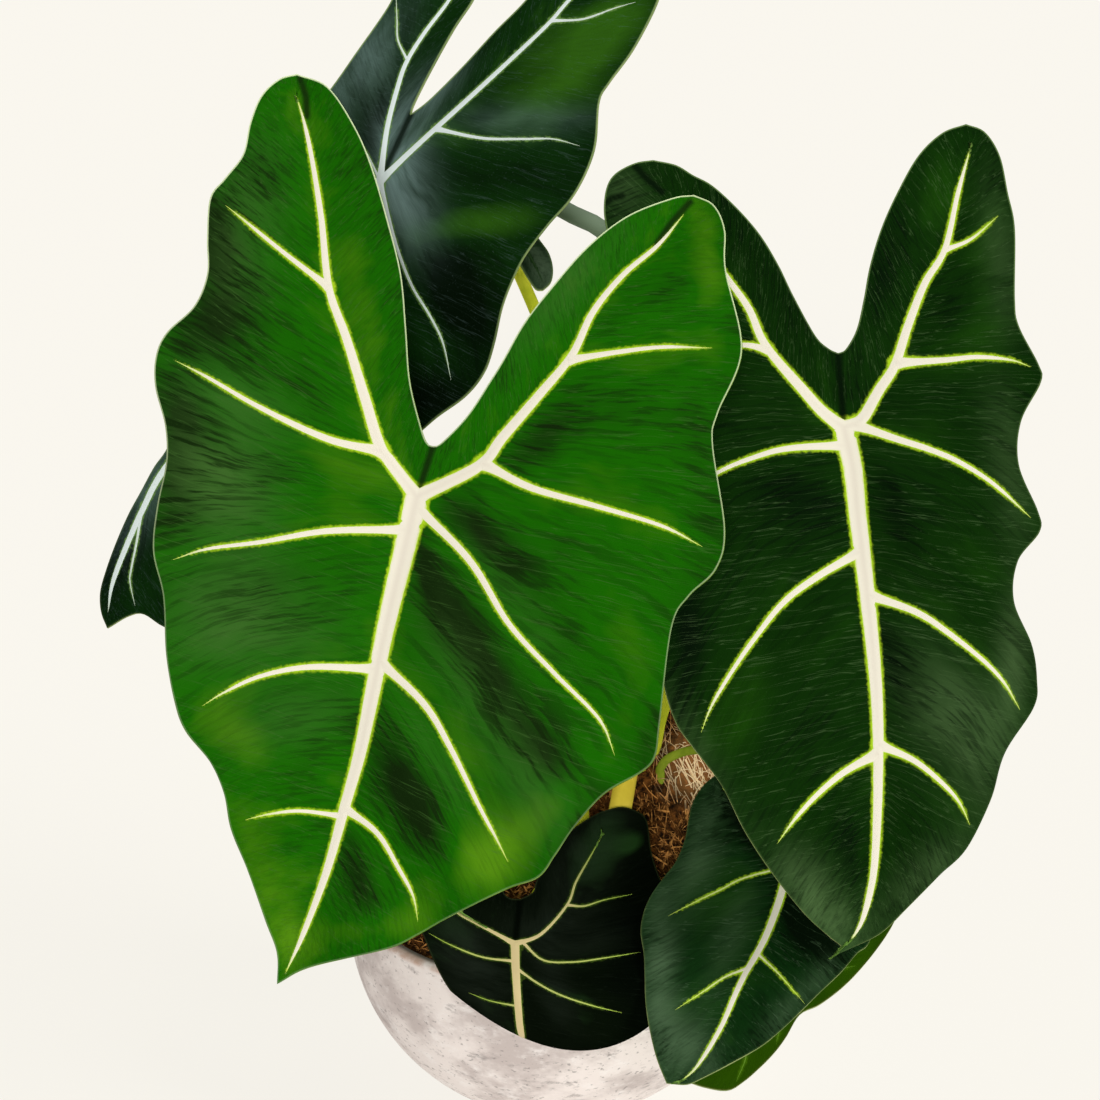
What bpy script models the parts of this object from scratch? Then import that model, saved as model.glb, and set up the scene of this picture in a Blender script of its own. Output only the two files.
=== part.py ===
"""Potted alocasia with velvety, white-veined leaves, in a round-bellied pot with a stone look.

The origin is the centre of the pot's flat base, on the surface that it stands on. +Z is up
and the plant's front faces -Y. Lengths are in metres.
"""

import math

import bmesh
import bpy
import numpy as np

# Pot: a hollow ball, cut flat below and open above
POT_HEIGHT = 0.090
POT_BALL_RADIUS = 0.088
POT_BALL_CENTRE = 0.078
POT_WALL = 0.006
POT_FLOOR = 0.008
POT_LIP_RADIUS = 0.0018
POT_LIP_TURNS = np.radians((45, 90))
POT_STEPS = 52
POT_OUTSIDE_RINGS = 9
POT_INSIDE_RINGS = 10

# Root ball: coir and soil that fills the pot and stands proud of it, most at the rear right
FIT_GAP = 0.0003
SOIL_EDGE = 0.082
MOUND_RISE = 0.058
MOUND_SLOPE_RISE = 0.045
MOUND_SLOPE_RUN = 0.045
MOUND_CREST_X = 0.040
MOUND_WIDTH = 0.075
MOUND_SHOULDER = 4
MOUND_LUMP = 0.0016
LUMP_WAVES = (190, 230, 310)
LUMP_FADE = 0.01
SOIL_STEPS = 36
SOIL_SIDE_RINGS = 6
SOIL_TOP_RINGS = 8
SOIL_TOP_START = 0.9

# Leaf stalks stand in plain holes in the root ball
STALK_DEPTH = 0.026
HOLE_GAP = 0.0004
HOLE_RINGS = 6

# Merging distance of corners that meet, and steps between two points of a smooth curve
MERGE = 0.00002
CURVE_STEPS = 12

# Blades
BLADE_THICKNESS = 0.0011
VEIN_REACH = 0.016
VEIN_KNOTS = 14
BLADE_MERGE = 0.00005
CREASE = 0.005
RIB_END_RADIUS = 0.0007
RIB_START = 0.75
RIB_SINK = 0.75
STALK_SIDES = 8
STALK_RINGS = 13
STALK_BEND = 2.2
STALK_RISE = 3.0
RIB_SIDES = 5

# Leaf patterns are read in the picture plane of one viewpoint in front of the plant, in steps
# of its 1100 x 1100 field, and laid on each leaf's own tilted surface at its real distance
EYE = np.array((-0.003, -1.381, 0.8285))
LOOK_DOWN = math.radians(23.0)
FOCUS = 3700.0
FIELD_CENTRE = 550.0

# For each leaf: its junction with the stalk in the field, how far behind the pot's axis that
# lies, how far the blade's face leans up and turns to the right in degrees, its outline from
# the notch between the lobes round to the notch again, its veins, the stalk's foot on the root
# ball, and the stalk's points as (field x, field y, distance behind the axis)
FRONT_LEFT = {
    "junction": (417, 497), "behind": -0.080, "lean": 36, "turn": -6,
    "right_inner": [(433, 446), (441, 443), (467, 416), (490, 381), (503, 360), (524, 323), (551, 288),
                    (587, 247), (627, 216), (672, 198), (694, 195)],
    "right_outer": [(694, 195), (714, 205), (725, 230), (726, 270), (742, 350), (718, 413),
                    (713, 444), (725, 529), (716, 569), (689, 596), (672, 627), (660, 721),
                    (655, 756), (641, 772), (605, 793), (575, 826), (555, 855), (538, 877),
                    (506, 889), (449, 917), (417, 935), (386, 949), (310, 967), (277, 984)],
    "left_outer": [(277, 984), (277, 953), (266, 922), (247, 869), (231, 829), (224, 794),
                   (210, 762), (185, 730), (174, 699), (166, 654), (163, 596), (153, 551),
                   (157, 506), (166, 462), (165, 426), (155, 386), (156, 355), (167, 332),
                   (194, 306), (207, 274), (207, 239), (210, 198), (225, 178), (243, 154),
                   (250, 123), (261, 96), (279, 79), (297, 74)],
    "left_inner": [(297, 74), (328, 87), (355, 127), (372, 167), (388, 221), (401, 274),
                   (406, 328), (410, 381), (421, 427), (427, 443), (433, 446)],
    "midrib": [(417, 497), (404, 551), (388, 618), (374, 685), (360, 752), (345, 806),
               (327, 870), (304, 932), (285, 974)],
    "right_basal": [(417, 497), (479, 466), (503, 437), (540, 394), (572, 355), (593, 312),
                    (623, 275), (658, 245), (684, 214)],
    "left_basal": [(417, 497), (391, 463), (379, 444), (364, 395), (346, 337), (329, 288),
                   (321, 216), (311, 154), (303, 118), (296, 96)],
    "laterals": [
        [(573, 359), (618, 352), (663, 347), (712, 348)],
        [(484, 469), (532, 488), (596, 506), (662, 526), (703, 547)],
        [(431, 513), (470, 561), (509, 624), (554, 673), (599, 719), (615, 756)],
        [(391, 661), (424, 704), (451, 749), (479, 806), (496, 838), (508, 862)],
        [(352, 806), (377, 833), (399, 869), (413, 896), (418, 922)],
        [(330, 285), (283, 252), (239, 216), (225, 205)],
        [(379, 455), (328, 439), (261, 408), (207, 377), (174, 360)],
        [(403, 527), (328, 531), (261, 542), (207, 549), (172, 560)],
        [(372, 666), (310, 667), (261, 676), (225, 692), (202, 706)],
        [(337, 811), (301, 811), (270, 814), (245, 820)],
    ],
    "fold": 0.16, "droop": 1.1, "arch": 0.35, "lobe_back": 0.9, "bulge": 0.0060,
    "foot": (0.008, -0.022),
    "stalk": [(578, 800, -0.024), (556, 740, -0.018), (520, 610, -0.008), (472, 492, -0.022),
              (437, 460, -0.052)],
    "stalk_radius": (0.0043, 0.0030),
}
RIGHT = {
    "junction": (844, 428), "behind": -0.010, "lean": 36, "turn": 6,
    "right_inner": [(838, 353), (846, 349), (857, 329), (864, 299), (870, 266), (881, 229), (897, 193),
                    (918, 156), (942, 133), (966, 124)],
    "right_outer": [(966, 124), (985, 132), (1000, 156), (1008, 193), (1015, 229), (1015, 299),
                    (1019, 326), (1039, 365), (1041, 382), (1021, 422), (1019, 465), (1038, 511),
                    (1040, 531), (1018, 561), (1014, 601), (1032, 645), (1037, 680), (1034, 707),
                    (1005, 753), (991, 799), (967, 848), (940, 875), (909, 906), (882, 932),
                    (856, 946), (829, 958)],
    "left_outer": [(829, 958), (842, 948), (830, 937), (805, 914), (774, 875), (745, 831),
                   (721, 784), (693, 747), (676, 722), (664, 684), (660, 645), (668, 608),
                   (684, 578), (678, 545), (676, 512), (690, 482), (692, 455), (676, 425),
                   (668, 395), (666, 360), (652, 322), (632, 290), (614, 258), (606, 226),
                   (604, 206), (607, 186), (616, 173), (635, 163), (653, 160)],
    "left_inner": [(653, 160), (676, 165), (693, 175), (713, 186), (739, 210), (761, 236),
                   (779, 266), (793, 295), (815, 335), (828, 348), (838, 353)],
    "midrib": [(844, 428), (853, 470), (858, 518), (866, 584), (875, 672), (878, 730),
               (878, 787), (876, 844), (872, 883), (862, 921), (849, 943)],
    "right_basal": [(844, 428), (862, 419), (878, 392), (895, 365), (908, 326), (925, 283),
                    (945, 249), (958, 193), (971, 146)],
    "left_basal": [(844, 428), (824, 413), (804, 391), (766, 346), (749, 309), (728, 279),
                   (700, 240), (675, 205), (650, 180)],
    "laterals": [
        [(898, 364), (945, 360), (978, 357), (1011, 360), (1031, 367)],
        [(948, 253), (971, 239), (998, 216)],
        [(860, 432), (897, 439), (931, 450), (961, 463), (995, 485), (1031, 518)],
        [(841, 443), (792, 448), (758, 456), (717, 473), (684, 500)],
        [(768, 348), (743, 345), (700, 349), (674, 358)],
        [(858, 555), (817, 577), (783, 603), (752, 642), (729, 676), (711, 707), (701, 733)],
        [(872, 594), (916, 612), (950, 634), (985, 662), (1005, 684), (1020, 710)],
        [(874, 755), (846, 771), (819, 793), (795, 819), (777, 844)],
        [(880, 744), (913, 760), (940, 781), (959, 802), (970, 825)],
    ],
    "fold": 0.14, "droop": 1.0, "arch": 0.35, "lobe_back": 0.7, "bulge": 0.0060,
    "foot": (0.0350, 0.0040),
    "stalk": [(652, 748, 0.008), (662, 706, 0.014), (700, 610, 0.036), (780, 460, 0.048),
              (826, 402, 0.028)],
    "stalk_radius": (0.0037, 0.0030),
}
REAR_LEFT = {
    "junction": (380, 181), "behind": 0.070, "lean": 33, "turn": -24,
    "right_inner": [(411, 114), (430, 99), (462, 67), (494, 32), (521, 5), (550, -28),
                    (585, -58), (618, -74), (640, -76)],
    "right_outer": [(640, -76), (658, -62), (664, -34), (658, 0), (634, 48), (609, 83),
                    (599, 102), (594, 150), (575, 193), (548, 225), (526, 254), (513, 279),
                    (502, 308), (494, 343), (484, 372), (465, 396), (433, 420), (404, 450),
                    (382, 494), (350, 516), (312, 534), (280, 566), (246, 580), (210, 604),
                    (185, 630), (164, 627), (143, 614), (128, 616), (107, 628)],
    "left_outer": [(107, 628), (101, 612), (100, 593), (105, 573), (115, 545), (128, 515),
                   (141, 491), (154, 467), (166, 450), (182, 418), (190, 380), (208, 345),
                   (234, 310), (240, 272), (246, 232), (268, 190), (284, 158), (304, 120),
                   (331, 88), (355, 54), (387, 8), (402, -22), (425, -50), (452, -62)],
    "left_inner": [(452, -62), (472, -46), (479, -20), (473, 0), (454, 29), (430, 72),
                   (414, 104), (411, 114)],
    "midrib": [(380, 181), (328, 252), (280, 320), (229, 391), (166, 467), (142, 511),
               (124, 552), (112, 585), (108, 612)],
    "right_basal": [(380, 181), (409, 153), (435, 129), (468, 99), (508, 62), (548, 24),
                    (569, 0), (596, -26), (630, -58)],
    "left_basal": [(380, 181), (387, 129), (398, 86), (407, 61), (425, 32), (449, 0),
                   (460, -24), (458, -44)],
    "laterals": [
        [(438, 131), (481, 138), (521, 139), (553, 139), (580, 146)],
        [(551, 24), (583, 19), (615, 8), (636, 2)],
        [(380, 181), (395, 241), (411, 284), (430, 316), (443, 343), (451, 380)],
        [(262, 344), (296, 400), (330, 452), (346, 506)],
        [(196, 432), (214, 490), (228, 536), (232, 576)],
        [(141, 513), (137, 540), (131, 570), (130, 582), (135, 606)],
        [(407, 61), (398, 40), (397, 20), (396, -4)],
        [(380, 181), (369, 158), (354, 132), (344, 110)],
        [(338, 242), (302, 236), (266, 236)],
    ],
    "fold": 0.16, "droop": 1.0, "arch": 0.35, "lobe_back": 0.5, "bulge": 0.0060,
    "foot": (0.023, -0.024),
    "stalk": [(626, 776, -0.014), (636, 710, 0.004), (646, 590, 0.044), (640, 400, 0.086),
              (616, 252, 0.108), (568, 212, 0.112), (485, 176, 0.108), (420, 162, 0.094)],
    "stalk_radius": (0.0048, 0.0036),
}
FRONT_LOW = {
    "junction": (515, 944), "behind": -0.092, "lean": 62, "turn": -4,
    "right_inner": [(520, 899), (533, 892), (536, 882), (546, 858), (563, 837), (584, 821),
                    (600, 812)],
    "right_outer": [(600, 812), (620, 807), (637, 811), (647, 821), (651, 849), (656, 868),
                    (664, 890), (670, 930), (671, 970), (664, 1010), (650, 1036), (628, 1054),
                    (600, 1066), (572, 1072), (545, 1070)],
    "left_outer": [(545, 1070), (522, 1050), (502, 1033), (482, 1018), (462, 1000), (446, 980),
                   (433, 956), (424, 936), (412, 912), (402, 884), (398, 854), (408, 828),
                   (426, 812), (446, 806)],
    "left_inner": [(446, 806), (466, 816), (484, 842), (494, 866), (503, 891), (510, 898),
                   (520, 899)],
    "midrib": [(515, 944), (516, 974), (519, 1004), (524, 1030), (533, 1050), (543, 1066)],
    "right_basal": [(515, 944), (541, 934), (567, 905), (576, 882), (590, 857), (603, 834)],
    "left_basal": [(515, 944), (493, 932), (474, 922), (456, 911), (440, 888), (438, 852)],
    "laterals": [
        [(567, 905), (584, 906), (604, 900), (633, 894)],
        [(524, 949), (543, 960), (573, 962), (604, 958), (641, 952)],
        [(521, 967), (539, 984), (563, 996), (594, 1006), (624, 1013)],
        [(508, 962), (482, 957), (451, 945), (429, 933)],
        [(514, 1007), (492, 1001), (471, 993)],
    ],
    "fold": 0.10, "droop": 3.0, "arch": 0.0, "lobe_back": 2.0, "bulge": 0.0030,
    "roll_radius": 0.0170, "roll_start": 0.0245, "roll_side": -0.026, "roll_bow": 13.8,
    "foot": (0.018, -0.045),
    "stalk": [(590, 864, -0.040), (562, 862, -0.050), (530, 906, -0.068)],
    "stalk_radius": (0.0026, 0.0018),
}
RIGHT_LOW = {
    "junction": (790, 862), "behind": -0.056, "lean": 58, "turn": 12,
    "right_inner": [(800, 828), (818, 806), (838, 784), (862, 770), (880, 766)],
    "right_outer": [(880, 766), (902, 776), (908, 806), (898, 846), (884, 888), (870, 940),
                    (857, 953), (841, 972), (819, 993), (800, 1012), (782, 1029), (761, 1046),
                    (731, 1063), (704, 1077), (687, 1084), (667, 1083)],
    "left_outer": [(667, 1083), (657, 1058), (650, 1029), (646, 1002), (645, 976), (644, 953),
                   (641, 930), (645, 909), (653, 892), (664, 877), (676, 861), (685, 839),
                   (689, 818), (693, 802), (702, 787), (714, 776)],
    "left_inner": [(714, 776), (732, 774), (752, 790), (774, 814), (790, 830), (800, 828)],
    "midrib": [(790, 862), (783, 888), (775, 913), (765, 938), (755, 957), (746, 972),
               (735, 995), (723, 1023), (708, 1050), (693, 1071), (679, 1082)],
    "right_basal": [(790, 862), (812, 838), (840, 812), (872, 786)],
    "left_basal": [(790, 862), (768, 836), (744, 810), (722, 788)],
    "laterals": [
        [(786, 864), (744, 878), (720, 890), (699, 900), (668, 916)],
        [(746, 967), (725, 977), (704, 991), (675, 1010)],
        [(763, 957), (777, 972), (792, 989), (805, 1004)],
        [(788, 872), (820, 884), (850, 904), (872, 926)],
    ],
    "fold": 0.12, "droop": 1.6, "arch": 0.6, "lobe_back": 1.6, "bulge": 0.0036,
    "foot": (0.0430, 0.0000),
    "stalk": [(660, 769, 0.000), (671, 757, -0.002), (700, 750, -0.008), (744, 762, -0.024),
              (778, 806, -0.042)],
    "stalk_radius": (0.0019, 0.0017),
}
RIGHT_UNDER = {
    "junction": (834, 930), "behind": -0.050, "lean": 58, "turn": 24,
    "right_inner": [(842, 908), (858, 890), (878, 880), (890, 880)],
    "right_outer": [(890, 880), (900, 894), (896, 918), (876, 950), (848, 982), (820, 1004),
                    (800, 1014), (786, 1037), (774, 1053), (759, 1068), (744, 1081), (728, 1090),
                    (705, 1087), (684, 1080)],
    "left_outer": [(684, 1080), (694, 1058), (700, 1028), (718, 996), (736, 966), (752, 938),
                   (772, 914), (790, 900)],
    "left_inner": [(790, 900), (808, 898), (824, 906), (834, 912), (842, 908)],
    "midrib": [(834, 930), (806, 962), (778, 996), (744, 1034), (712, 1062), (692, 1076)],
    "right_basal": [(834, 930), (856, 910), (882, 892)],
    "left_basal": [(834, 930), (818, 918), (800, 906)],
    "laterals": [[(778, 996), (782, 1016), (776, 1044)], [(744, 1034), (746, 1056), (736, 1082)],
                 [(806, 962), (836, 968), (856, 966)], [(790, 981), (764, 966), (752, 950)]],
    "fold": 0.10, "droop": 2.0, "arch": 0.8, "lobe_back": 1.6, "bulge": 0.0020,
    "foot": (0.058, -0.020),
    "stalk": [(716, 822, -0.018), (756, 820, -0.016), (806, 846, -0.026), (836, 890, -0.042)],
    "stalk_radius": (0.0022, 0.0016),
}
REAR = {
    "junction": (503, 222), "behind": 0.112, "lean": 60, "turn": 0,
    "right_inner": [(512, 246), (519, 262), (528, 278), (536, 289), (543, 290)],
    "right_outer": [(543, 290), (551, 282), (553, 268), (549, 253), (540, 240), (528, 222),
                    (522, 200), (512, 178), (494, 158), (474, 144), (456, 138), (440, 134)],
    "left_outer": [(440, 134), (438, 152), (440, 176), (448, 200), (456, 222), (460, 246),
                   (468, 272), (480, 294), (492, 300)],
    "left_inner": [(492, 300), (500, 288), (504, 270), (508, 254), (512, 246)],
    "midrib": [(503, 222), (484, 192), (464, 164), (445, 139)],
    "right_basal": [(503, 222), (519, 240), (532, 260), (543, 282)],
    "left_basal": [(503, 222), (496, 248), (490, 272), (489, 290)],
    "laterals": [
        [(500, 217), (508, 204), (516, 192)], [(484, 192), (488, 176), (490, 162)],
        [(500, 217), (478, 216), (456, 214)], [(484, 192), (462, 186), (444, 180)],
        [(523, 247), (534, 246), (543, 246)], [(492, 262), (478, 262), (466, 260)]],
    "fold": 0.10, "droop": 3.0, "arch": 1.2, "lobe_back": 2.5, "bulge": 0.0026,
    "foot": (0.030, 0.021),
    "stalk": [(634, 720, 0.030), (620, 590, 0.062), (580, 420, 0.100), (536, 312, 0.120),
              (514, 262, 0.124)],
    "stalk_radius": (0.0034, 0.0026),
}

# Node name, shape, samples along a lobe and along the midrib, rings from rib to margin
LEAVES = (
    ("leaf_front_left", FRONT_LEFT, 9, 16, 4),
    ("leaf_right", RIGHT, 9, 16, 4),
    ("leaf_rear_left", REAR_LEFT, 9, 16, 4),
    ("leaf_front_low", FRONT_LOW, 6, 10, 3),
    ("leaf_right_low", RIGHT_LOW, 6, 10, 3),
    ("leaf_right_under", RIGHT_UNDER, 4, 8, 3),
    ("leaf_rear", REAR, 5, 8, 3),
)


def clear_scene():
    for thing in list(bpy.data.objects):
        bpy.data.objects.remove(thing, do_unlink=True)


def unit(vector):
    vector = np.asarray(vector, float)
    return vector / np.linalg.norm(vector, axis=-1, keepdims=True)


def finish(name, colour, roughness):
    """A plain material in the piece's own colour."""
    material = bpy.data.materials.new(name)
    material.use_nodes = True
    shader = material.node_tree.nodes["Principled BSDF"]
    shader.inputs["Base Color"].default_value = (*colour, 1.0)
    shader.inputs["Roughness"].default_value = roughness
    shader.inputs["Metallic"].default_value = 0.0
    material.diffuse_color = (*colour, 1.0)
    return material


def add_object(name, builder, material):
    """Turns a finished bmesh into a smooth-shaded object at the origin."""
    bmesh.ops.recalc_face_normals(builder, faces=builder.faces)
    mesh = bpy.data.meshes.new(name)
    builder.to_mesh(mesh)
    builder.free()
    mesh.materials.append(material)
    mesh.shade_smooth()
    thing = bpy.data.objects.new(name, mesh)
    bpy.context.collection.objects.link(thing)
    return thing


def sheet(columns, rows, place):
    """A grid of columns x rows faces whose corners place() puts, from its two parameters 0..1."""
    builder = bmesh.new()
    bmesh.ops.create_grid(builder, x_segments=columns, y_segments=rows, size=0.5)
    flat = np.array([corner.co for corner in builder.verts])
    spots = place(flat[:, 0] + 0.5, flat[:, 1] + 0.5)
    for corner, spot in zip(builder.verts, spots):
        corner.co = spot
    return builder


def smooth_run(points, count):
    """Even samples along the smooth curve through the points."""
    given = np.array(points, float)
    given = np.vstack([2 * given[0] - given[1], given, 2 * given[-1] - given[-2]])
    step = np.linspace(0, 1, CURVE_STEPS, endpoint=False)[:, None]
    pieces = []
    for before, start, end, after in zip(given, given[1:], given[2:], given[3:]):
        bend = 2 * before - 5 * start + 4 * end - after
        twist = 3 * start - before - 3 * end + after
        pieces.append(start + 0.5 * step * ((end - before) + step * (bend + step * twist)))
    fine = np.vstack([*pieces, given[-2:-1]])
    reach = np.r_[0, np.cumsum(np.linalg.norm(np.diff(fine, axis=0), axis=1))]
    stops = np.linspace(0, reach[-1], count)
    return np.column_stack([np.interp(stops, reach, fine[:, k]) for k in range(fine.shape[1])])


def sight_ways(points):
    """The direction in which each field point is seen from the viewpoint."""
    points = np.asarray(points, float)
    ahead = np.array((0.0, math.cos(LOOK_DOWN), -math.sin(LOOK_DOWN)))
    above = np.array((0.0, math.sin(LOOK_DOWN), math.cos(LOOK_DOWN)))
    right = np.array((1.0, 0.0, 0.0))
    across = (points[..., :1] - FIELD_CENTRE) / FOCUS
    up = (FIELD_CENTRE - points[..., 1:2]) / FOCUS
    return ahead + across * right + up * above


def seen_at(x, y, behind):
    """The place at a field point that lies the given distance behind the pot's axis."""
    way = sight_ways((x, y))
    return EYE + way * (behind - EYE[1]) / way[1]


def blade_frame(leaf):
    """The junction's place, and the blade's ways along its midrib, across it and out of its face."""
    lean, turn = math.radians(leaf["lean"]), math.radians(leaf["turn"])
    junction = seen_at(*leaf["junction"], leaf["behind"])
    out = np.array((math.sin(turn) * math.cos(lean), -math.cos(turn) * math.cos(lean),
                    math.sin(lean)))
    way = sight_ways(leaf["midrib"][-1])
    tip = EYE + way * ((junction - EYE) @ out) / (way @ out)
    along = unit(tip - junction)
    return junction, along, np.cross(along, out), out


def on_plane(leaf, points):
    """Where pattern points lie on the blade's flat plane, and the way each one is lifted."""
    junction, _, _, out = blade_frame(leaf)
    ways = sight_ways(points)
    spots = EYE + ways * (((junction - EYE) @ out) / (ways @ out))[:, None]
    return spots, -unit(ways)


def vein_distance(leaf, spots):
    """Each spot's distance on the plane from the nearest main vein."""
    nearest = np.full(len(spots), 1.0)
    for vein in (leaf["midrib"], leaf["right_basal"], leaf["left_basal"], *leaf["laterals"]):
        knots = on_plane(leaf, smooth_run(vein, VEIN_KNOTS))[0]
        for start, end in zip(knots, knots[1:]):
            run = end - start
            part = np.clip((spots - start) @ run / (run @ run), 0, 1)
            nearest = np.minimum(nearest, np.linalg.norm(spots - start - part[:, None] * run, axis=1))
    return nearest


def blade_surface(leaf, points):
    """The upper face: the flat plane, folded at the midrib, arched, and cushioned between veins."""
    junction, along, across, out = blade_frame(leaf)
    spots, lift = on_plane(leaf, points)
    down = (spots - junction) @ along
    side = (spots - junction) @ across
    half = np.hypot(side, CREASE) - CREASE
    tipward, lobeward = np.maximum(down, 0), np.maximum(-down, 0)
    height = leaf["fold"] * half - leaf["droop"] * half**2
    height -= leaf["arch"] * tipward**2 + leaf["lobe_back"] * lobeward**2
    distance = vein_distance(leaf, spots)
    height += leaf["bulge"] * (1 - np.exp(-((distance / VEIN_REACH) ** 2)))
    if "roll_radius" in leaf:
        spots = rolled_under(leaf, spots, down, side)
    return spots + height[:, None] * lift


def rolled_under(leaf, spots, down, side):
    """Curls a blade's end under along a bowed line; up to its turn, all keep their field place."""
    _, along, _, out = blade_frame(leaf)
    radius = leaf["roll_radius"]
    slant = math.acos(-out @ unit(sight_ways(leaf["junction"])))
    start = leaf["roll_start"] - leaf["roll_bow"] * (side - leaf["roll_side"]) ** 2
    over = np.maximum(down - start, 0)
    sine = over * math.cos(slant) / radius - math.sin(slant)
    turn = slant + np.arcsin(np.clip(sine, -1, 1)) + np.maximum(sine - 1, 0)
    ahead = radius * np.sin(turn) - over
    under = radius * (1 - np.cos(turn))
    return spots + ahead[:, None] * along - under[:, None] * out


def blade_loops(leaf, lobe, body):
    """The margin's samples, and for each the rib point that it grows from, in pattern points."""
    right_basal = smooth_run(leaf["right_basal"], lobe + 1)
    left_basal = smooth_run(leaf["left_basal"], lobe + 1)
    midrib = smooth_run(leaf["midrib"], body + 1)
    ribs = [right_basal, right_basal[::-1], midrib, midrib[::-1], left_basal, left_basal[::-1]]
    margin = [smooth_run(leaf["right_inner"], lobe + 1),
              smooth_run(leaf["right_outer"], lobe + body + 1),
              smooth_run(leaf["left_outer"], lobe + body + 1),
              smooth_run(leaf["left_inner"], lobe + 1)]
    return end_to_end(margin), end_to_end(ribs)


def end_to_end(runs):
    """One run made of several, each of which starts where the one before ends."""
    return np.vstack([runs[0][:1], *[run[1:] for run in runs]])


def blade(name, leaf, lobe, body, rings, material):
    """The blade as a thin solid, with both faces split into the same triangles."""
    margin, ribs = blade_loops(leaf, lobe, body)
    columns = len(margin) - 1

    def place(across, outward):
        column = np.rint(across * columns).astype(int)
        pattern = ribs[column] + (margin[column] - ribs[column]) * outward[:, None]
        return blade_surface(leaf, pattern)

    builder = sheet(columns, rings, place)
    bmesh.ops.remove_doubles(builder, verts=builder.verts, dist=BLADE_MERGE)
    bmesh.ops.triangulate(builder, faces=builder.faces)
    thing = add_object(name, builder, material)
    face_forward(thing.data, blade_frame(leaf)[3])
    wall = thing.modifiers.new("Wall", "SOLIDIFY")
    wall.thickness = BLADE_THICKNESS
    wall.offset = -1
    bake_modifiers(thing)
    return thing


def face_forward(mesh, out):
    """Turns an open sheet over if its faces look away from the given way."""
    total = sum((face.area * face.normal.dot(out) for face in mesh.polygons))
    if total < 0:
        mesh.flip_normals()


def bake_modifiers(thing):
    """Replaces an object's mesh by the one that its modifiers make."""
    result = bpy.data.meshes.new_from_object(
        thing.evaluated_get(bpy.context.evaluated_depsgraph_get())
    )
    thing.modifiers.clear()
    thing.data = result


def tube(name, path, radii, sides, material):
    """A round closed rod along a path, with a radius at each point."""
    ways = unit(np.gradient(path, axis=0))
    first = unit(np.cross(ways[0], (0.3, 0.2, 0.93)))
    rims = [first]
    for way in ways[1:]:
        rims.append(unit(rims[-1] - way * (rims[-1] @ way)))
    rims = np.array(rims)
    others = np.cross(ways, rims)
    rows = len(path) - 1

    def place(around, length):
        row = np.rint(length * rows).astype(int)
        turn = (around * 2 * math.pi)[:, None]
        ring = np.cos(turn) * rims[row] + np.sin(turn) * others[row]
        return path[row] + np.asarray(radii)[row][:, None] * ring

    builder = sheet(sides, rows, place)
    bmesh.ops.remove_doubles(builder, verts=builder.verts, dist=MERGE)
    bmesh.ops.holes_fill(builder, edges=builder.edges, sides=0)
    bmesh.ops.triangulate(builder, faces=builder.faces)
    return add_object(name, builder, material)


def face_ways(leaf, points):
    """The way out of the blade's upper face at pattern points."""
    points = np.asarray(points, float)
    across = blade_surface(leaf, points + (1.0, 0.0)) - blade_surface(leaf, points - (1.0, 0.0))
    down = blade_surface(leaf, points + (0.0, 1.0)) - blade_surface(leaf, points - (0.0, 1.0))
    return unit(np.cross(down, across))


def rib_path(leaf, vein, radii):
    """A vein's run just under the blade, so that the rib stands out of its back only."""
    points = smooth_run(vein, len(radii))
    depth = radii[:, None] + RIB_SINK * BLADE_THICKNESS
    return blade_surface(leaf, points) - face_ways(leaf, points) * depth


def mound_height(x, y):
    """The height of the root ball's top: a slope that rises to the rear, full at its right."""
    slope = MOUND_RISE + MOUND_SLOPE_RISE * np.tanh(y / MOUND_SLOPE_RUN)
    slope = slope * np.exp(-(((x - MOUND_CREST_X) / MOUND_WIDTH) ** 2))
    return SOIL_EDGE + slope * (1 - ((x * x + y * y) / soil_radius() ** 2) ** MOUND_SHOULDER)


def soil_radius():
    """The root ball's radius where it meets the pot's wall."""
    ball = POT_BALL_RADIUS - POT_WALL - FIT_GAP
    return math.sqrt(ball**2 - (SOIL_EDGE - POT_BALL_CENTRE) ** 2)


def lump(x, y):
    """How far the heap's rough top stands above or below its even shape."""
    first, second, slanting = LUMP_WAVES
    crossing = np.sin(first * x + 1) * np.cos(second * y)
    return MOUND_LUMP * (crossing + np.sin(slanting * (x - y) + 2))


def stalk_path(leaf):
    """The stalk's run from inside the root ball, up and over to the back of the junction."""
    foot = np.array((*leaf["foot"], mound_height(*leaf["foot"])))
    radius = leaf["stalk_radius"][1]
    out = face_ways(leaf, [leaf["midrib"][0]])[0]
    above = [seen_at(*point) for point in leaf["stalk"]]
    rise = unit(unit(above[0] - foot) + np.array((0.0, 0.0, STALK_RISE)))
    end = blade_surface(leaf, [leaf["midrib"][0]])[0] - out * (radius + RIB_SINK * BLADE_THICKNESS)
    before = end - out * STALK_BEND * radius
    return smooth_run([foot - rise * STALK_DEPTH, foot, *above, before, end], STALK_RINGS)


def join(target, others, operation="UNION", solver="EXACT"):
    """Joins or cuts an object by others, one after the other, and removes them."""
    for other in others:
        change = target.modifiers.new("Join", "BOOLEAN")
        change.operation = operation
        change.solver = solver
        change.object = other
        bake_modifiers(target)
        bpy.data.objects.remove(other, do_unlink=True)


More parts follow.
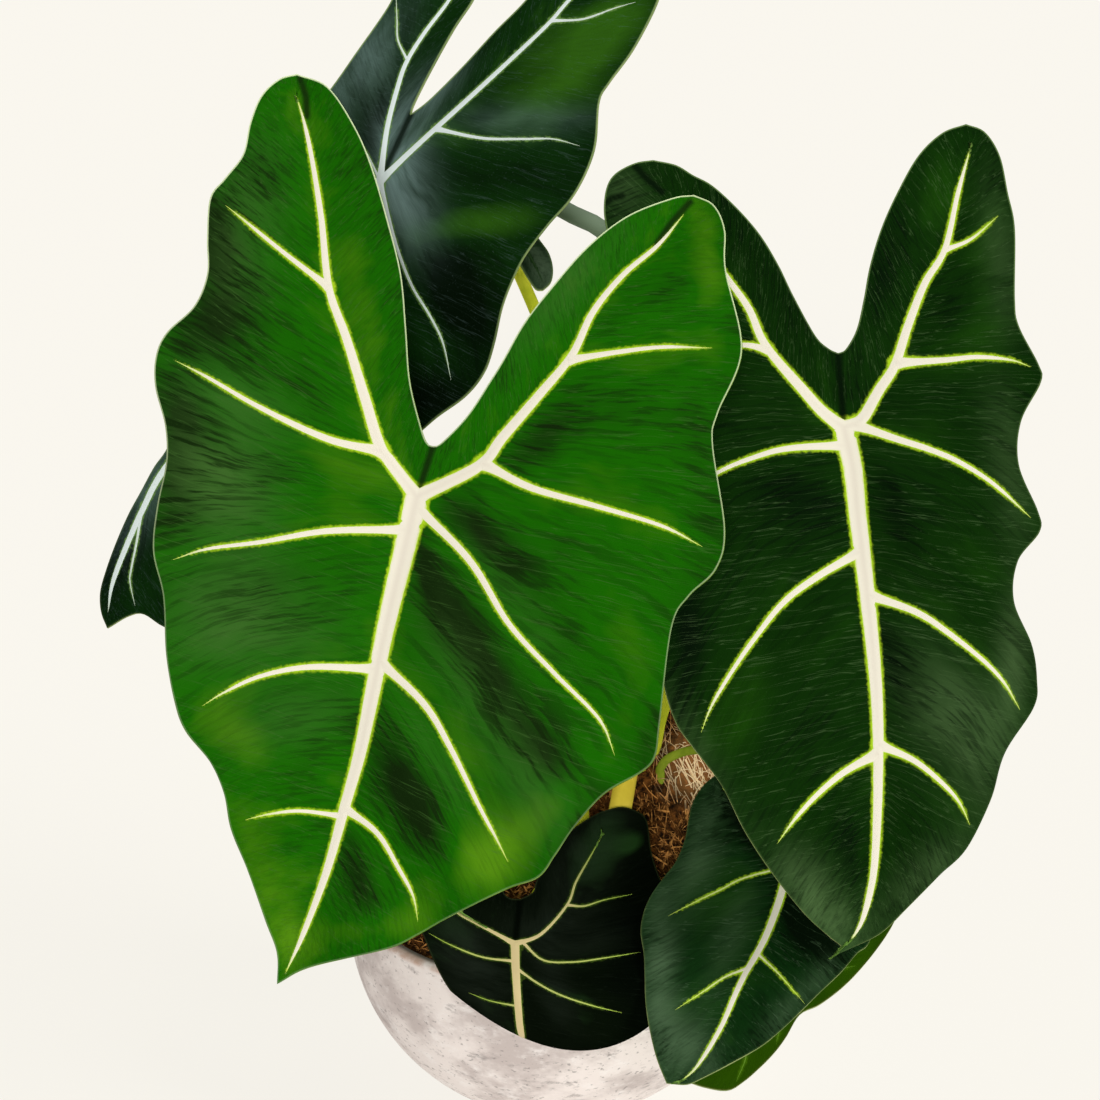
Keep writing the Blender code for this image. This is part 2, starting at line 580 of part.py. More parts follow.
def leaf_solid(name, leaf, lobe, body, rings, material):
    """One leaf: blade, three main ribs on its back and its stalk, grown together."""
    thing = blade(name, leaf, lobe, body, rings, material)
    foot_radius, top_radius = leaf["stalk_radius"]
    radii = np.linspace(foot_radius, top_radius, STALK_RINGS)
    rods = [tube(name + "_stalk", stalk_path(leaf), radii, STALK_SIDES, material)]
    for vein, count in (("midrib", body + 1), ("right_basal", lobe + 1), ("left_basal", lobe + 1)):
        radii = np.linspace(RIB_START * top_radius, RIB_END_RADIUS, count)
        path = rib_path(leaf, leaf[vein], radii)
        rods.append(tube(name + "_" + vein, path[:-1], radii[:-1], RIB_SIDES, material))
    join(thing, rods, solver="MANIFOLD")
    keep_outer_shell(thing.data)
    return thing


def keep_outer_shell(mesh):
    """Removes the tiny closed pockets that a union leaves between a rod and a blade."""
    builder = bmesh.new()
    builder.from_mesh(mesh)
    waiting = set(builder.verts)
    shells = []
    while waiting:
        shell = {waiting.pop()}
        fresh = list(shell)
        while fresh:
            corner = fresh.pop()
            linked = {edge.other_vert(corner) for edge in corner.link_edges} - shell
            shell |= linked
            fresh += linked
        waiting -= shell
        shells.append(shell)
    shells.sort(key=len)
    for shell in shells[:-1]:
        bmesh.ops.delete(builder, geom=list(shell), context="VERTS")
    builder.to_mesh(mesh)
    builder.free()


def pot():
    """The bowl: an outer ball and an inner one, a rounded lip and a flat base."""
    def ball_side(radius, low, high, count):
        heights = np.linspace(low, high, count) - POT_BALL_CENTRE
        return [(math.sqrt(radius**2 - h * h), POT_BALL_CENTRE + h) for h in heights]

    inner = POT_BALL_RADIUS - POT_WALL
    lip_low = POT_HEIGHT - POT_LIP_RADIUS
    profile = [(0.0, 0.0)]
    profile += ball_side(POT_BALL_RADIUS, 0.0, lip_low, POT_OUTSIDE_RINGS)
    outer_mouth, inner_mouth = profile[-1][0], ball_side(inner, lip_low, lip_low, 1)[0][0]
    for turn in POT_LIP_TURNS:
        shift = POT_LIP_RADIUS * (1 - math.cos(turn))
        profile.append((outer_mouth - shift, lip_low + POT_LIP_RADIUS * math.sin(turn)))
    for turn in POT_LIP_TURNS[::-1]:
        shift = POT_LIP_RADIUS * (1 - math.cos(turn))
        profile.append((inner_mouth + shift, lip_low + POT_LIP_RADIUS * math.sin(turn)))
    profile += ball_side(inner, POT_FLOOR, lip_low, POT_INSIDE_RINGS)[::-1]
    profile.append((0.0, POT_FLOOR))
    profile = np.array(profile)
    rows = len(profile) - 1

    def place(around, run):
        radius, height = profile[np.rint(run * rows).astype(int)].T
        turn = around * 2 * math.pi
        return np.column_stack([radius * np.cos(turn), radius * np.sin(turn), height])

    builder = sheet(POT_STEPS, rows, place)
    bmesh.ops.remove_doubles(builder, verts=builder.verts, dist=MERGE)
    return add_object("pot", builder, finish("Stone wash", (0.62, 0.58, 0.56), 0.85))


def root_ball():
    """The coir mass: the bowl's inside shape below, a lumpy mound above."""
    ball = POT_BALL_RADIUS - POT_WALL - FIT_GAP
    floor = POT_FLOOR + FIT_GAP
    heights = np.linspace(floor, SOIL_EDGE, SOIL_SIDE_RINGS)
    side = [(math.sqrt(ball**2 - (h - POT_BALL_CENTRE) ** 2), h) for h in heights]
    edge = side[-1][0]
    top_radii = edge * np.linspace(SOIL_TOP_START, 0.0, SOIL_TOP_RINGS)
    rows = 1 + len(side) + len(top_radii) - 1

    def place(around, run):
        row = np.rint(run * rows).astype(int)
        turn = around * 2 * math.pi
        on_top = np.maximum(row - len(side), 0)
        radius = np.where(row <= len(side), np.r_[0, [r for r, _ in side]][np.minimum(row, len(side))],
                          np.r_[edge, top_radii][on_top])
        x, y = radius * np.cos(turn), radius * np.sin(turn)
        low = np.r_[floor, heights][np.minimum(row, len(side))]
        top = mound_height(x, y) + lump(x, y) * np.clip((edge - radius) / LUMP_FADE, 0, 1)
        return np.column_stack([x, y, np.where(row <= len(side), low, top)])

    builder = sheet(SOIL_STEPS, rows, place)
    bmesh.ops.remove_doubles(builder, verts=builder.verts, dist=MERGE)
    bmesh.ops.triangulate(builder, faces=builder.faces)
    thing = add_object("root_ball", builder, finish("Coir", (0.36, 0.17, 0.07), 0.95))
    cutters = []
    for name, leaf, *_ in LEAVES:
        path = stalk_path(leaf)[:HOLE_RINGS]
        path[0] -= HOLE_GAP * unit(path[1] - path[0])
        radii = np.linspace(*leaf["stalk_radius"], STALK_RINGS)[:HOLE_RINGS] + HOLE_GAP
        cutters.append(tube(name + "_hole", path, radii, STALK_SIDES, thing.data.materials[0]))
    join(thing, cutters, "DIFFERENCE")
    return thing


def main():
    clear_scene()
    pot()
    root_ball()
    bright = finish("Bright leaf", (0.10, 0.33, 0.03), 0.45)
    dark = finish("Dark leaf", (0.02, 0.11, 0.03), 0.45)
    for name, leaf, lobe, body, rings in LEAVES:
        tone = bright if name in ("leaf_front_left", "leaf_right_under") else dark
        leaf_solid(name, leaf, lobe, body, rings, tone)


main()
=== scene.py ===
import math

import bmesh
import bpy
import numpy as np
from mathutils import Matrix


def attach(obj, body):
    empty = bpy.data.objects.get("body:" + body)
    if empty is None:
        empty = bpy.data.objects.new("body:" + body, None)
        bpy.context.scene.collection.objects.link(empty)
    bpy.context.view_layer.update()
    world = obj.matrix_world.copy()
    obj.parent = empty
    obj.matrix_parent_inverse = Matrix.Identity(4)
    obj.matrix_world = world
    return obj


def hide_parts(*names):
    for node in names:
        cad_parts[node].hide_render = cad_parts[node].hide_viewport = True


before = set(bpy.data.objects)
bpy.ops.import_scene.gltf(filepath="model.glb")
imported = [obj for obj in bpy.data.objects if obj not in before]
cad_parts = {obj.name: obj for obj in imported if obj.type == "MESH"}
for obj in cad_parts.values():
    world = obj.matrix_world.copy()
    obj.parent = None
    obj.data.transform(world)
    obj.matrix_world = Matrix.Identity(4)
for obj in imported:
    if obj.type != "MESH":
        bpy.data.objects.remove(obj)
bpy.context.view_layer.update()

# The viewpoint
# A camera in front of the plant and above it, as a photographer would stand to show the whole
# front leaf. Leaf patterns further down are read in this camera's 1100 x 1100 field.
EYE = np.array((-0.003, -1.381, 0.8285))
LOOK_DOWN = math.radians(23.0)
FOCUS = 3700.0
FIELD = 1100.0
SENSOR = 36.0


def placed(name, data):
    """A new object in the scene, at the origin."""
    made = bpy.data.objects.new(name, data)
    bpy.context.collection.objects.link(made)
    return made


camera_data = bpy.data.cameras.new("camera")
camera_data.sensor_width = SENSOR
camera_data.lens = FOCUS / FIELD * SENSOR
camera_data.clip_end = 30.0
camera = placed("camera", camera_data)
camera.location = EYE
camera.rotation_euler = (math.radians(90.0) - LOOK_DOWN, 0.0, 0.0)
bpy.context.scene.camera = camera
bpy.context.scene.view_settings.view_transform = "Standard"


# The floor and the light
# A warm white studio sweep that glows a little by itself, so shadows on it stay faint. One light
# shines from the viewer's side, one from the right, a faint one from behind, under an even sky.
def node(tree, kind, inputs=None, **settings):
    """A shader node with its settings, and each input linked, set or, where it is None, left."""
    made = tree.nodes.new(kind)
    for key, value in settings.items():
        setattr(made, key, value)
    for key, value in (inputs or {}).items():
        if isinstance(value, bpy.types.NodeSocket):
            tree.links.new(value, made.inputs[key])
        elif value is not None:
            made.inputs[key].default_value = value
    return made


def blank_material(name):
    """A material with only its output, and that output's node tree."""
    material = bpy.data.materials.new(name)
    material.use_nodes = True
    tree = material.node_tree
    tree.nodes.clear()
    return material, tree


FLOOR_SIZE = 14.0
FLOOR_TONE = (0.965, 0.938, 0.872, 1.0)
FLOOR_GLOW = 0.85
floor_finish, tree = blank_material("studio floor")
glow = node(tree, "ShaderNodeEmission", {"Color": FLOOR_TONE, "Strength": 1.0})
matt = node(tree, "ShaderNodeBsdfDiffuse", {"Color": FLOOR_TONE})
both = node(tree, "ShaderNodeMixShader", {0: FLOOR_GLOW, 1: matt.outputs[0], 2: glow.outputs[0]})
node(tree, "ShaderNodeOutputMaterial", {"Surface": both.outputs[0]})
builder = bmesh.new()
bmesh.ops.create_grid(builder, x_segments=1, y_segments=1, size=FLOOR_SIZE / 2)
floor_mesh = bpy.data.meshes.new("studio_floor")
builder.to_mesh(floor_mesh)
builder.free()
floor_mesh.materials.append(floor_finish)
floor = placed("studio_floor", floor_mesh)

SKY_TONE = (1.0, 0.985, 0.955, 1.0)
SKY_STRENGTH = 0.38
world = bpy.data.worlds.new("studio sky")
world.use_nodes = True
sky = world.node_tree.nodes["Background"].inputs
sky["Color"].default_value, sky["Strength"].default_value = SKY_TONE, SKY_STRENGTH
bpy.context.scene.world = world


def soft_sun(name, strength, spread, tilt, heading):
    """A wide light from far away: tilted from overhead, then turned round to its heading."""
    data = bpy.data.lights.new(name, "SUN")
    data.energy = strength
    data.angle = math.radians(spread)
    data.color = SKY_TONE[:3]
    placed(name, data).rotation_euler = (math.radians(tilt), 0.0, math.radians(heading))


soft_sun("front_light", 1.5, 8, 67, -3)
soft_sun("side_light", 1.5, 22, 52, 66)
soft_sun("rear_light", 0.3, 40, 40, 150)


# The pot
# A round-bellied bowl of fired clay with a rounded lip, washed with thin white and grey glaze
# that has rubbed through in specks and short streaks, most of all along the lip.
POT_HEIGHT = 0.090
POT_BALL_RADIUS = 0.088
POT_BALL_CENTRE = 0.078
POT_WALL = 0.006
POT_FLOOR = 0.008
POT_LIP = 0.0022
LIP_WEAR = (0.0034, 0.0014)
IN_WALL_SHADE = (0.0032, 0.0010)
LIP_SAMPLES = 14
OUTSIDE_RINGS = 40
INSIDE_RINGS = 24
POT_STEPS = 180
MERGE = 0.00002


def started(name):
    """A new finish: its material, its node tree and the piece's own coordinates."""
    material, tree = blank_material(name)
    return material, tree, node(tree, "ShaderNodeTexCoord").outputs["Object"]


def math_of(tree, operation, first, second):
    return node(tree, "ShaderNodeMath", {0: first, 1: second}, operation=operation).outputs[0]


def along_axis(tree, place, axis):
    """How far along one of its own axes each place on the piece lies."""
    return node(tree, "ShaderNodeSeparateXYZ", {0: place}).outputs[axis]


def away_from(tree, place, spot):
    """How far each place on the piece lies from a spot."""
    measured = node(tree, "ShaderNodeVectorMath", {0: place, 1: spot}, operation="DISTANCE")
    return measured.outputs["Value"]


def blend(tree, factor, first, second):
    """One colour mixed over another."""
    mixed = node(tree, "ShaderNodeMix", {0: factor, 6: first, 7: second}, data_type="RGBA")
    return mixed.outputs[2]


def steps(tree, value, low, high, first=0.0, last=1.0, kind="SMOOTHSTEP"):
    """A value's way from one level to another, eased at both ends."""
    ends = {"Value": value, "From Min": low, "From Max": high, "To Min": first, "To Max": last}
    return node(tree, "ShaderNodeMapRange", ends, interpolation_type=kind).outputs["Result"]


def noise(tree, place, scale, detail=3.0, rough=0.55, stretch=(1.0, 1.0, 1.0), shift=0.0):
    """Cloudy noise on the piece's own coordinates, drawn out along an axis where asked."""
    laid = node(tree, "ShaderNodeMapping",
                {"Vector": place, "Scale": stretch, "Location": (shift, shift, shift)})
    cloud = node(tree, "ShaderNodeTexNoise",
                 {"Vector": laid.outputs[0], "Scale": scale, "Detail": detail, "Roughness": rough})
    return cloud.outputs["Fac"]


def bump(tree, strength, distance, height, under=None):
    """Fine relief in a finish, laid over other relief where asked."""
    return node(tree, "ShaderNodeBump", {"Strength": strength, "Distance": distance,
                                         "Height": height, "Normal": under}).outputs[0]


def surface(tree, tone, rough, shine, relief=None):
    """The last step of a finish: its tone, its roughness, its shine and its relief."""
    shader = node(tree, "ShaderNodeBsdfPrincipled",
                  {"Base Color": tone, "Roughness": rough, "Specular IOR Level": shine,
                   "Normal": relief})
    node(tree, "ShaderNodeOutputMaterial", {"Surface": shader.outputs[0]})


def closed(builder, fill=True, merge=MERGE):
    """Joins doubled corners, closes open ends where asked and turns the faces outwards."""
    bmesh.ops.remove_doubles(builder, verts=builder.verts, dist=merge)
    if fill:
        bmesh.ops.holes_fill(builder, edges=builder.edges, sides=0)
    bmesh.ops.recalc_face_normals(builder, faces=builder.faces)
    return builder


def put(name, builder, materials, node_name=None):
    """Makes the finished bmesh an object at the origin that stands for a node and rides along."""
    mesh = bpy.data.meshes.new(name)
    builder.to_mesh(mesh)
    builder.free()
    for material in materials:
        mesh.materials.append(material)
    mesh.shade_smooth()
    piece = placed(name, mesh)
    if node_name:
        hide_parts(node_name)
    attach(piece, "root")
    return piece


stone_finish, tree, place = started("white-washed clay")
clouds = noise(tree, place, 30.0, 5.0, 0.6, (1.0, 1.0, 1.3))
tone = blend(tree, steps(tree, clouds, 0.38, 0.60), (0.56, 0.485, 0.465, 1), (0.86, 0.78, 0.75, 1))
blotches = noise(tree, place, 70.0, 6.0, 0.68, (1.0, 1.0, 1.5), 3.0)
tone = blend(tree, steps(tree, blotches, 0.50, 0.72, 0.0, 0.75), tone, (0.95, 0.90, 0.88, 1))
streaks = noise(tree, place, 120.0, 5.0, 0.7, (0.8, 0.8, 1.7), 7.0)
tone = blend(tree, steps(tree, streaks, 0.56, 0.70, 0.0, 0.62), tone, (0.30, 0.265, 0.255, 1))
specks = noise(tree, place, 420.0, 3.0, 0.55, (1.0, 1.0, 1.5), 1.0)
tone = blend(tree, steps(tree, specks, 0.60, 0.70, 0.0, 0.60), tone, (0.20, 0.18, 0.17, 1))
worn = steps(tree, along_axis(tree, place, 2), POT_HEIGHT - LIP_WEAR[0], POT_HEIGHT - LIP_WEAR[1])
breaks = steps(tree, noise(tree, place, 90.0, 4.0, 0.6, shift=5.0), 0.34, 0.56, 0.0, 0.7)
tone = blend(tree, math_of(tree, "MULTIPLY", worn, breaks), tone, (0.42, 0.20, 0.10, 1))
# Painted shade: the inside of the wall and the inner half of the lip are darkened to grey-brown,
# standing in for the shade under the leaves.
inside = away_from(tree, place, (0.0, 0.0, POT_BALL_CENTRE))
inside = steps(tree, inside, POT_BALL_RADIUS - IN_WALL_SHADE[0], POT_BALL_RADIUS - IN_WALL_SHADE[1], 1.0, 0.0)
tone = blend(tree, inside, tone, (0.10, 0.085, 0.06, 1))
# Painted shade: the pot's left side is darkened, standing in for the side turned away from the
# light.
left = steps(tree, along_axis(tree, place, 0), -0.085, 0.0, 0.30, 0.0)
tone = blend(tree, left, tone, (0.34, 0.29, 0.28, 1))
surface(tree, tone, 0.82, 0.3, bump(tree, 0.25, 0.0004, specks, bump(tree, 0.35, 0.0012, blotches)))


def ball_side(radius, low, high, count):
    """Points up the side of a ball round the pot's centre, between two heights."""
    heights = np.linspace(low, high, count)
    return [(math.sqrt(radius**2 - (h - POT_BALL_CENTRE) ** 2), 0.0, h) for h in heights]


inner_ball = POT_BALL_RADIUS - POT_WALL
lip_low = POT_HEIGHT - POT_LIP
outer_side = ball_side(POT_BALL_RADIUS, 0.0, lip_low, OUTSIDE_RINGS)
inner_side = ball_side(inner_ball, POT_FLOOR, lip_low, INSIDE_RINGS)[::-1]
lip_mid = (outer_side[-1][0] + inner_side[0][0]) / 2
lip_half = (outer_side[-1][0] - inner_side[0][0]) / 2
lip = [(lip_mid + lip_half * math.cos(turn), 0.0, lip_low + POT_LIP * math.sin(turn))
       for turn in np.linspace(0, math.pi, LIP_SAMPLES)[1:-1]]
profile = [(0.0, 0.0, 0.0), *outer_side, *lip, *inner_side, (0.0, 0.0, POT_FLOOR)]
builder = bmesh.new()
corners = [builder.verts.new(point) for point in profile]
edges = [builder.edges.new(pair) for pair in zip(corners, corners[1:])]
bmesh.ops.spin(builder, geom=corners + edges, axis=(0, 0, 1), cent=(0, 0, 0), steps=POT_STEPS,
               angle=2 * math.pi, use_merge=True)
put("pot_bowl", closed(builder, fill=False), [stone_finish], "pot")


# The root ball
# Coconut fibre and soil packed into the bowl and heaped up round the crown, higher at the rear
# right. Loose fibres lie all over its top, with a few long straws, and one spot is lit pale and
# warm by a painted pool of sunlight.
SOIL_EDGE = 0.082
SOIL_GAP = 0.0003
SOIL_SIDE = 0.02
HEAP_RISE, HEAP_TILT, HEAP_TURN = 0.058, 0.045, 0.045
HEAP_CREST, HEAP_SPREAD = 0.040, 0.075
SIDE_SHARE = 0.16
LUMP, CRUMB = 0.0016, 0.0009
SOIL_REACH = math.sqrt((inner_ball - SOIL_GAP) ** 2 - (SOIL_EDGE - POT_BALL_CENTRE) ** 2)
SUNLIT_SPOT = (0.060, 0.010, 0.138)


def mound_height(x, y):
    """The height of the heap's top: a slope that rises to the rear, full at its right."""
    slope = HEAP_RISE + HEAP_TILT * np.tanh(y / HEAP_TURN)
    slope = slope * np.exp(-(((x - HEAP_CREST) / HEAP_SPREAD) ** 2))
    return SOIL_EDGE + slope * (1 - ((x * x + y * y) / SOIL_REACH**2) ** 4)


def sheet(columns, rows, place_at, builder=None, marks=()):
    """A grid of faces whose corners place_at() puts, from its two parameters 0..1.

    Columns of its table after the third go into the float layers named by marks.
    """
    builder = builder or bmesh.new()
    for mark in marks:
        if mark not in builder.verts.layers.float:
            builder.verts.layers.float.new(mark)
    layers = [builder.verts.layers.float[mark] for mark in marks]
    made = bmesh.ops.create_grid(builder, x_segments=columns, y_segments=rows, size=0.5)["verts"]
    flat = np.array([corner.co for corner in made])
    for corner, row in zip(made, place_at(flat[:, 0] + 0.5, flat[:, 1] + 0.5).tolist()):
        corner.co = row[:3]
        for layer, value in zip(layers, row[3:]):
            corner[layer] = value
    return builder


def heap(around, inward):
    """The heap's side and lumpy top as a disc of rings."""
    on_top = np.clip((inward - SIDE_SHARE) / (1 - SIDE_SHARE), 0, 1)
    radius = SOIL_REACH * (1 - on_top)
    x, y = radius * np.cos(around * 2 * math.pi), radius * np.sin(around * 2 * math.pi)
    lump = (np.sin(190 * x + 1) * np.cos(230 * y) + np.sin(310 * (x - y) + 2)) * LUMP
    lump += (np.sin(620 * x + 3 * np.sin(500 * y)) * np.sin(700 * y + 2)) * CRUMB
    low = SOIL_EDGE - SOIL_SIDE * np.clip((SIDE_SHARE - inward) / SIDE_SHARE, 0, 1)
    top = mound_height(x, y) + lump * np.clip((SOIL_REACH - radius) / 0.01, 0, 1)
    return np.column_stack([x, y, np.where(inward < SIDE_SHARE, low, top)])


soil_finish, tree, place = started("dark coir")
crumbs = noise(tree, place, 320.0, 5.0, 0.7)
tone = blend(tree, steps(tree, crumbs, 0.40, 0.70),
             (0.010, 0.004, 0.001, 1), (0.20, 0.070, 0.014, 1))
# Painted light: the heap turns pale and warm round one spot, standing in for sunlight that falls
# there.
painted_sunlight = steps(tree, away_from(tree, place, SUNLIT_SPOT), 0.006, 0.022, 0.45, 0.0)
tone = blend(tree, painted_sunlight, tone, (0.62, 0.28, 0.09, 1))
surface(tree, tone, 0.95, 0.1, bump(tree, 0.9, 0.0015, crumbs))
put("coir_heap", closed(sheet(150, 60, heap)), [soil_finish], "root_ball")

fibre_finish, tree, place = started("coir fibre")
strands = noise(tree, place, 300.0, 2.0, 0.5)
tone = blend(tree, steps(tree, strands, 0.40, 0.66),
             (0.060, 0.022, 0.005, 1), (0.60, 0.27, 0.075, 1))
# Painted light: the fibres turn pale round the same spot, standing in for sunlight that falls
# there.
painted_sunlight = steps(tree, away_from(tree, place, SUNLIT_SPOT), 0.008, 0.026, 0.95, 0.0)
tone = blend(tree, painted_sunlight, tone, (1.0, 0.78, 0.50, 1))
surface(tree, tone, 0.8, 0.05)

FIBRES = 2600
FIBRE_POINTS = 6
FIBRE_RADIUS = 0.00022
FIBRE_CENTRES = 0.077
FIBRE_REACH = 0.0788
FIBRE_BEND = 40
FIBRE_LIFT = 0.0022
SHORT_FIBRE = ((0.006, 0.022), (0.5, 1.3))
STRAW = ((0.018, 0.036), (1.5, 2.4))
STRAW_SHARE = 0.05
chance = np.random.default_rng(7)
fibres = bpy.data.curves.new("coir_fibres", "CURVE")
fibres.dimensions = "3D"
fibres.bevel_depth = FIBRE_RADIUS
fibres.bevel_resolution = 0
fibres.use_fill_caps = True
for _ in range(FIBRES):
    reach = FIBRE_CENTRES * math.sqrt(chance.random())
    angle = chance.random() * 2 * math.pi
    heading = chance.random() * 2 * math.pi
    bend = chance.normal(0, FIBRE_BEND)
    lengths, widths = STRAW if chance.random() < STRAW_SHARE else SHORT_FIBRE
    length = chance.uniform(*lengths)
    span = np.linspace(-length / 2, length / 2, FIBRE_POINTS)
    turn = heading + bend * span
    x = reach * math.cos(angle) + np.cumsum(np.cos(turn)) * length / FIBRE_POINTS
    y = reach * math.sin(angle) + np.cumsum(np.sin(turn)) * length / FIBRE_POINTS
    inside = np.minimum(1, FIBRE_REACH / np.maximum(np.hypot(x, y), 0.001))
    x, y = x * inside, y * inside
    lift = chance.uniform(-0.0004, FIBRE_LIFT) + chance.uniform(0, FIBRE_LIFT) * np.sin(
        np.linspace(0, math.pi, FIBRE_POINTS) * chance.uniform(0.5, 1.5))
    spline = fibres.splines.new("POLY")
    spline.points.add(FIBRE_POINTS - 1)
    spots = np.column_stack([x, y, mound_height(x, y) + lift, np.ones(FIBRE_POINTS)])
    spline.points.foreach_set("co", spots.ravel())
    spline.points.foreach_set("radius", np.full(FIBRE_POINTS, chance.uniform(*widths)))
strand_object = placed("coir_strands", fibres)
strand_mesh = bpy.data.meshes.new_from_object(
    strand_object.evaluated_get(bpy.context.evaluated_depsgraph_get()))
bpy.data.objects.remove(strand_object)
builder = bmesh.new()
builder.from_mesh(strand_mesh)
put("coir_fibres", builder, [fibre_finish], None)


# The large front leaf
# One arrow-shaped blade, velvety and bright green, hung from its stalk at the junction of its
# broad cream midrib and two basal ribs. The blade bellies out between its sunken white veins and
# has fine ribs that run from the veins to a thin pale margin.
def leaf_lines(junction, margin, midrib, basals, laterals, **measures):
    """A leaf's lines in the field: its junction, margin, midrib, basal ribs and side veins.

    Each part of the margin starts where the one before ends, and the last ends where the first
    starts. The midrib and both basal ribs start at the junction.
    """
    parts = [margin[0]]
    for part in margin[1:]:
        parts.append([parts[-1][-1], *part])
    parts[-1].append(parts[0][0])
    midrib, right, left = [[junction, *rib] for rib in (midrib, *basals)]
    return dict(measures, junction=junction, margin=parts, midrib=midrib, right_basal=right,
                left_basal=left, laterals=laterals)


FRONT_LEFT = leaf_lines(
    junction=(417, 497), behind=-0.080, lean=36, turn=-6,
    margin=[
        [(433, 446), (441, 443), (467, 416), (490, 381), (503, 360), (524, 323), (551, 288),
         (587, 247), (627, 216), (672, 198), (694, 195)],
        [(714, 205), (725, 230), (726, 270), (742, 350), (718, 413), (713, 444), (725, 529),
         (716, 569), (689, 596), (672, 627), (660, 721), (655, 756), (641, 772), (605, 793),
         (575, 826), (555, 855), (538, 877), (506, 889), (449, 917), (417, 935), (386, 949),
         (310, 967), (277, 984)],
        [(277, 953), (266, 922), (247, 869), (231, 829), (224, 794), (210, 762), (185, 730),
         (174, 699), (166, 654), (163, 596), (153, 551), (157, 506), (166, 462), (165, 426),
         (155, 386), (156, 355), (167, 332), (194, 306), (207, 274), (207, 239), (210, 198),
         (225, 178), (243, 154), (250, 123), (261, 96), (279, 79), (297, 74)],
        [(328, 87), (355, 127), (372, 167), (388, 221), (401, 274), (406, 328), (410, 381),
         (421, 427), (427, 443)]],
    midrib=[(404, 551), (388, 618), (374, 685), (360, 752), (345, 806), (327, 870), (304, 932),
        (285, 974)],
    basals=[
        [(479, 466), (503, 437), (540, 394), (572, 355), (593, 312), (623, 275), (658, 245),
         (684, 214)],
        [(391, 463), (379, 444), (364, 395), (346, 337), (329, 288), (321, 216), (311, 154),
         (303, 118), (296, 96)]],
    laterals=[
        [(573, 359), (618, 352), (663, 347), (712, 348)],
        [(484, 469), (532, 488), (596, 506), (662, 526), (703, 547)],
        [(431, 513), (470, 561), (509, 624), (554, 673), (599, 719), (615, 756)],
        [(391, 661), (424, 704), (451, 749), (479, 806), (496, 838), (508, 862)],
        [(352, 806), (377, 833), (399, 869), (413, 896), (418, 922)],
        [(330, 285), (283, 252), (239, 216), (225, 205)],
        [(379, 455), (328, 439), (261, 408), (207, 377), (174, 360)],
        [(403, 527), (328, 531), (261, 542), (207, 549), (172, 560)],
        [(372, 666), (310, 667), (261, 676), (225, 692), (202, 706)],
        [(337, 811), (301, 811), (270, 814), (245, 820)]],
    fold=0.16, droop=1.1, arch=0.35, lobe_back=0.9, bulge=0.0060,
    # The tones patches are painted light and shade: dark furrows between the veins, and lit places.
    tones=[(478, 650, 105, 26, 60, -0.36), (550, 760, 50, 22, 52, -0.26),
        (404, 795, 95, 23, 62, -0.36), (350, 866, 50, 18, 62, -0.32), (478, 532, 55, 20, 48, -0.45),
        (425, 570, 45, 10, 75, -0.30), (625, 645, 80, 42, 75, 0.12), (482, 862, 62, 32, -25, 0.42),
        (555, 800, 50, 24, -40, 0.28), (270, 900, 70, 30, 70, 0.30), (238, 735, 45, 25, 40, 0.28),
        (350, 480, 60, 30, 10, 0.20), (365, 300, 90, 22, 78, 0.18), (705, 500, 80, 26, 90, -0.10),
        (708, 255, 55, 18, 85, 0.34), (560, 290, 70, 18, -48, 0.15), (540, 440, 45, 22, -45, -0.25),
        (220, 320, 60, 34, -45, -0.22), (218, 235, 60, 28, 90, -0.46),
        (182, 440, 80, 26, 90, -0.34), (260, 180, 60, 26, 90, -0.12),
        (650, 735, 40, 14, 100, -0.20), (583, 842, 24, 11, -60, -0.55),
        (360, 930, 60, 16, -10, 0.25), (285, 470, 60, 14, 10, -0.12)],
    dust=[(215, 480, 70, 44, 60, 0.90), (235, 620, 80, 52, 20, 0.75), (240, 400, 60, 30, 25, 0.45),
        (245, 230, 80, 34, 100, 0.45), (560, 290, 80, 22, -48, 0.45), (290, 720, 60, 30, -10, 0.30),
        (520, 610, 70, 20, 55, 0.30), (440, 760, 70, 16, 60, 0.25), (470, 690, 100, 26, 60, 0.28),
        (540, 800, 60, 30, 60, 0.35)],
    creases=[[(300, 78), (306, 96), (307, 116)], [(690, 202), (672, 222), (656, 245)]],
    foot=(0.008, -0.022), stalk_radius=(0.0043, 0.0030),
    stalk=[(578, 800, -0.024), (556, 740, -0.018), (520, 610, -0.008), (472, 492, -0.022),
        (437, 460, -0.052)],
    widths=dict(midrib=(12.2, 1.8), basal=(6.8, 1.6), lateral=(4.4, 1.2), full=190))
BLADE_WALL = 0.0008
BLADE_MERGE = 0.00003
RIM_STOPS = (0.965, 0.982, 0.993, 1.0)
HALO = 2.0
VEIN_REACH = 0.016
CREASE = 0.005
FAR = 1e9
CURVE_STEPS = 12


def unit(vector):
    vector = np.asarray(vector, float)
    return vector / np.linalg.norm(vector, axis=-1, keepdims=True)


def smooth_run(points, count):
    """Even samples along the smooth curve through the points."""
    given = np.array(points, float)
    given = np.vstack([2 * given[0] - given[1], given, 2 * given[-1] - given[-2]])
    step = np.linspace(0, 1, CURVE_STEPS, endpoint=False)[:, None]
    pieces = []
    for before, start, end, after in zip(given, given[1:], given[2:], given[3:]):
        bend = 2 * before - 5 * start + 4 * end - after
        twist = 3 * start - before - 3 * end + after
        pieces.append(start + 0.5 * step * ((end - before) + step * (bend + step * twist)))
    fine = np.vstack([*pieces, given[-2:-1]])
    reach = np.r_[0, np.cumsum(np.linalg.norm(np.diff(fine, axis=0), axis=1))]
    stops = np.linspace(0, reach[-1], count)
    return np.column_stack([np.interp(stops, reach, fine[:, k]) for k in range(fine.shape[1])])


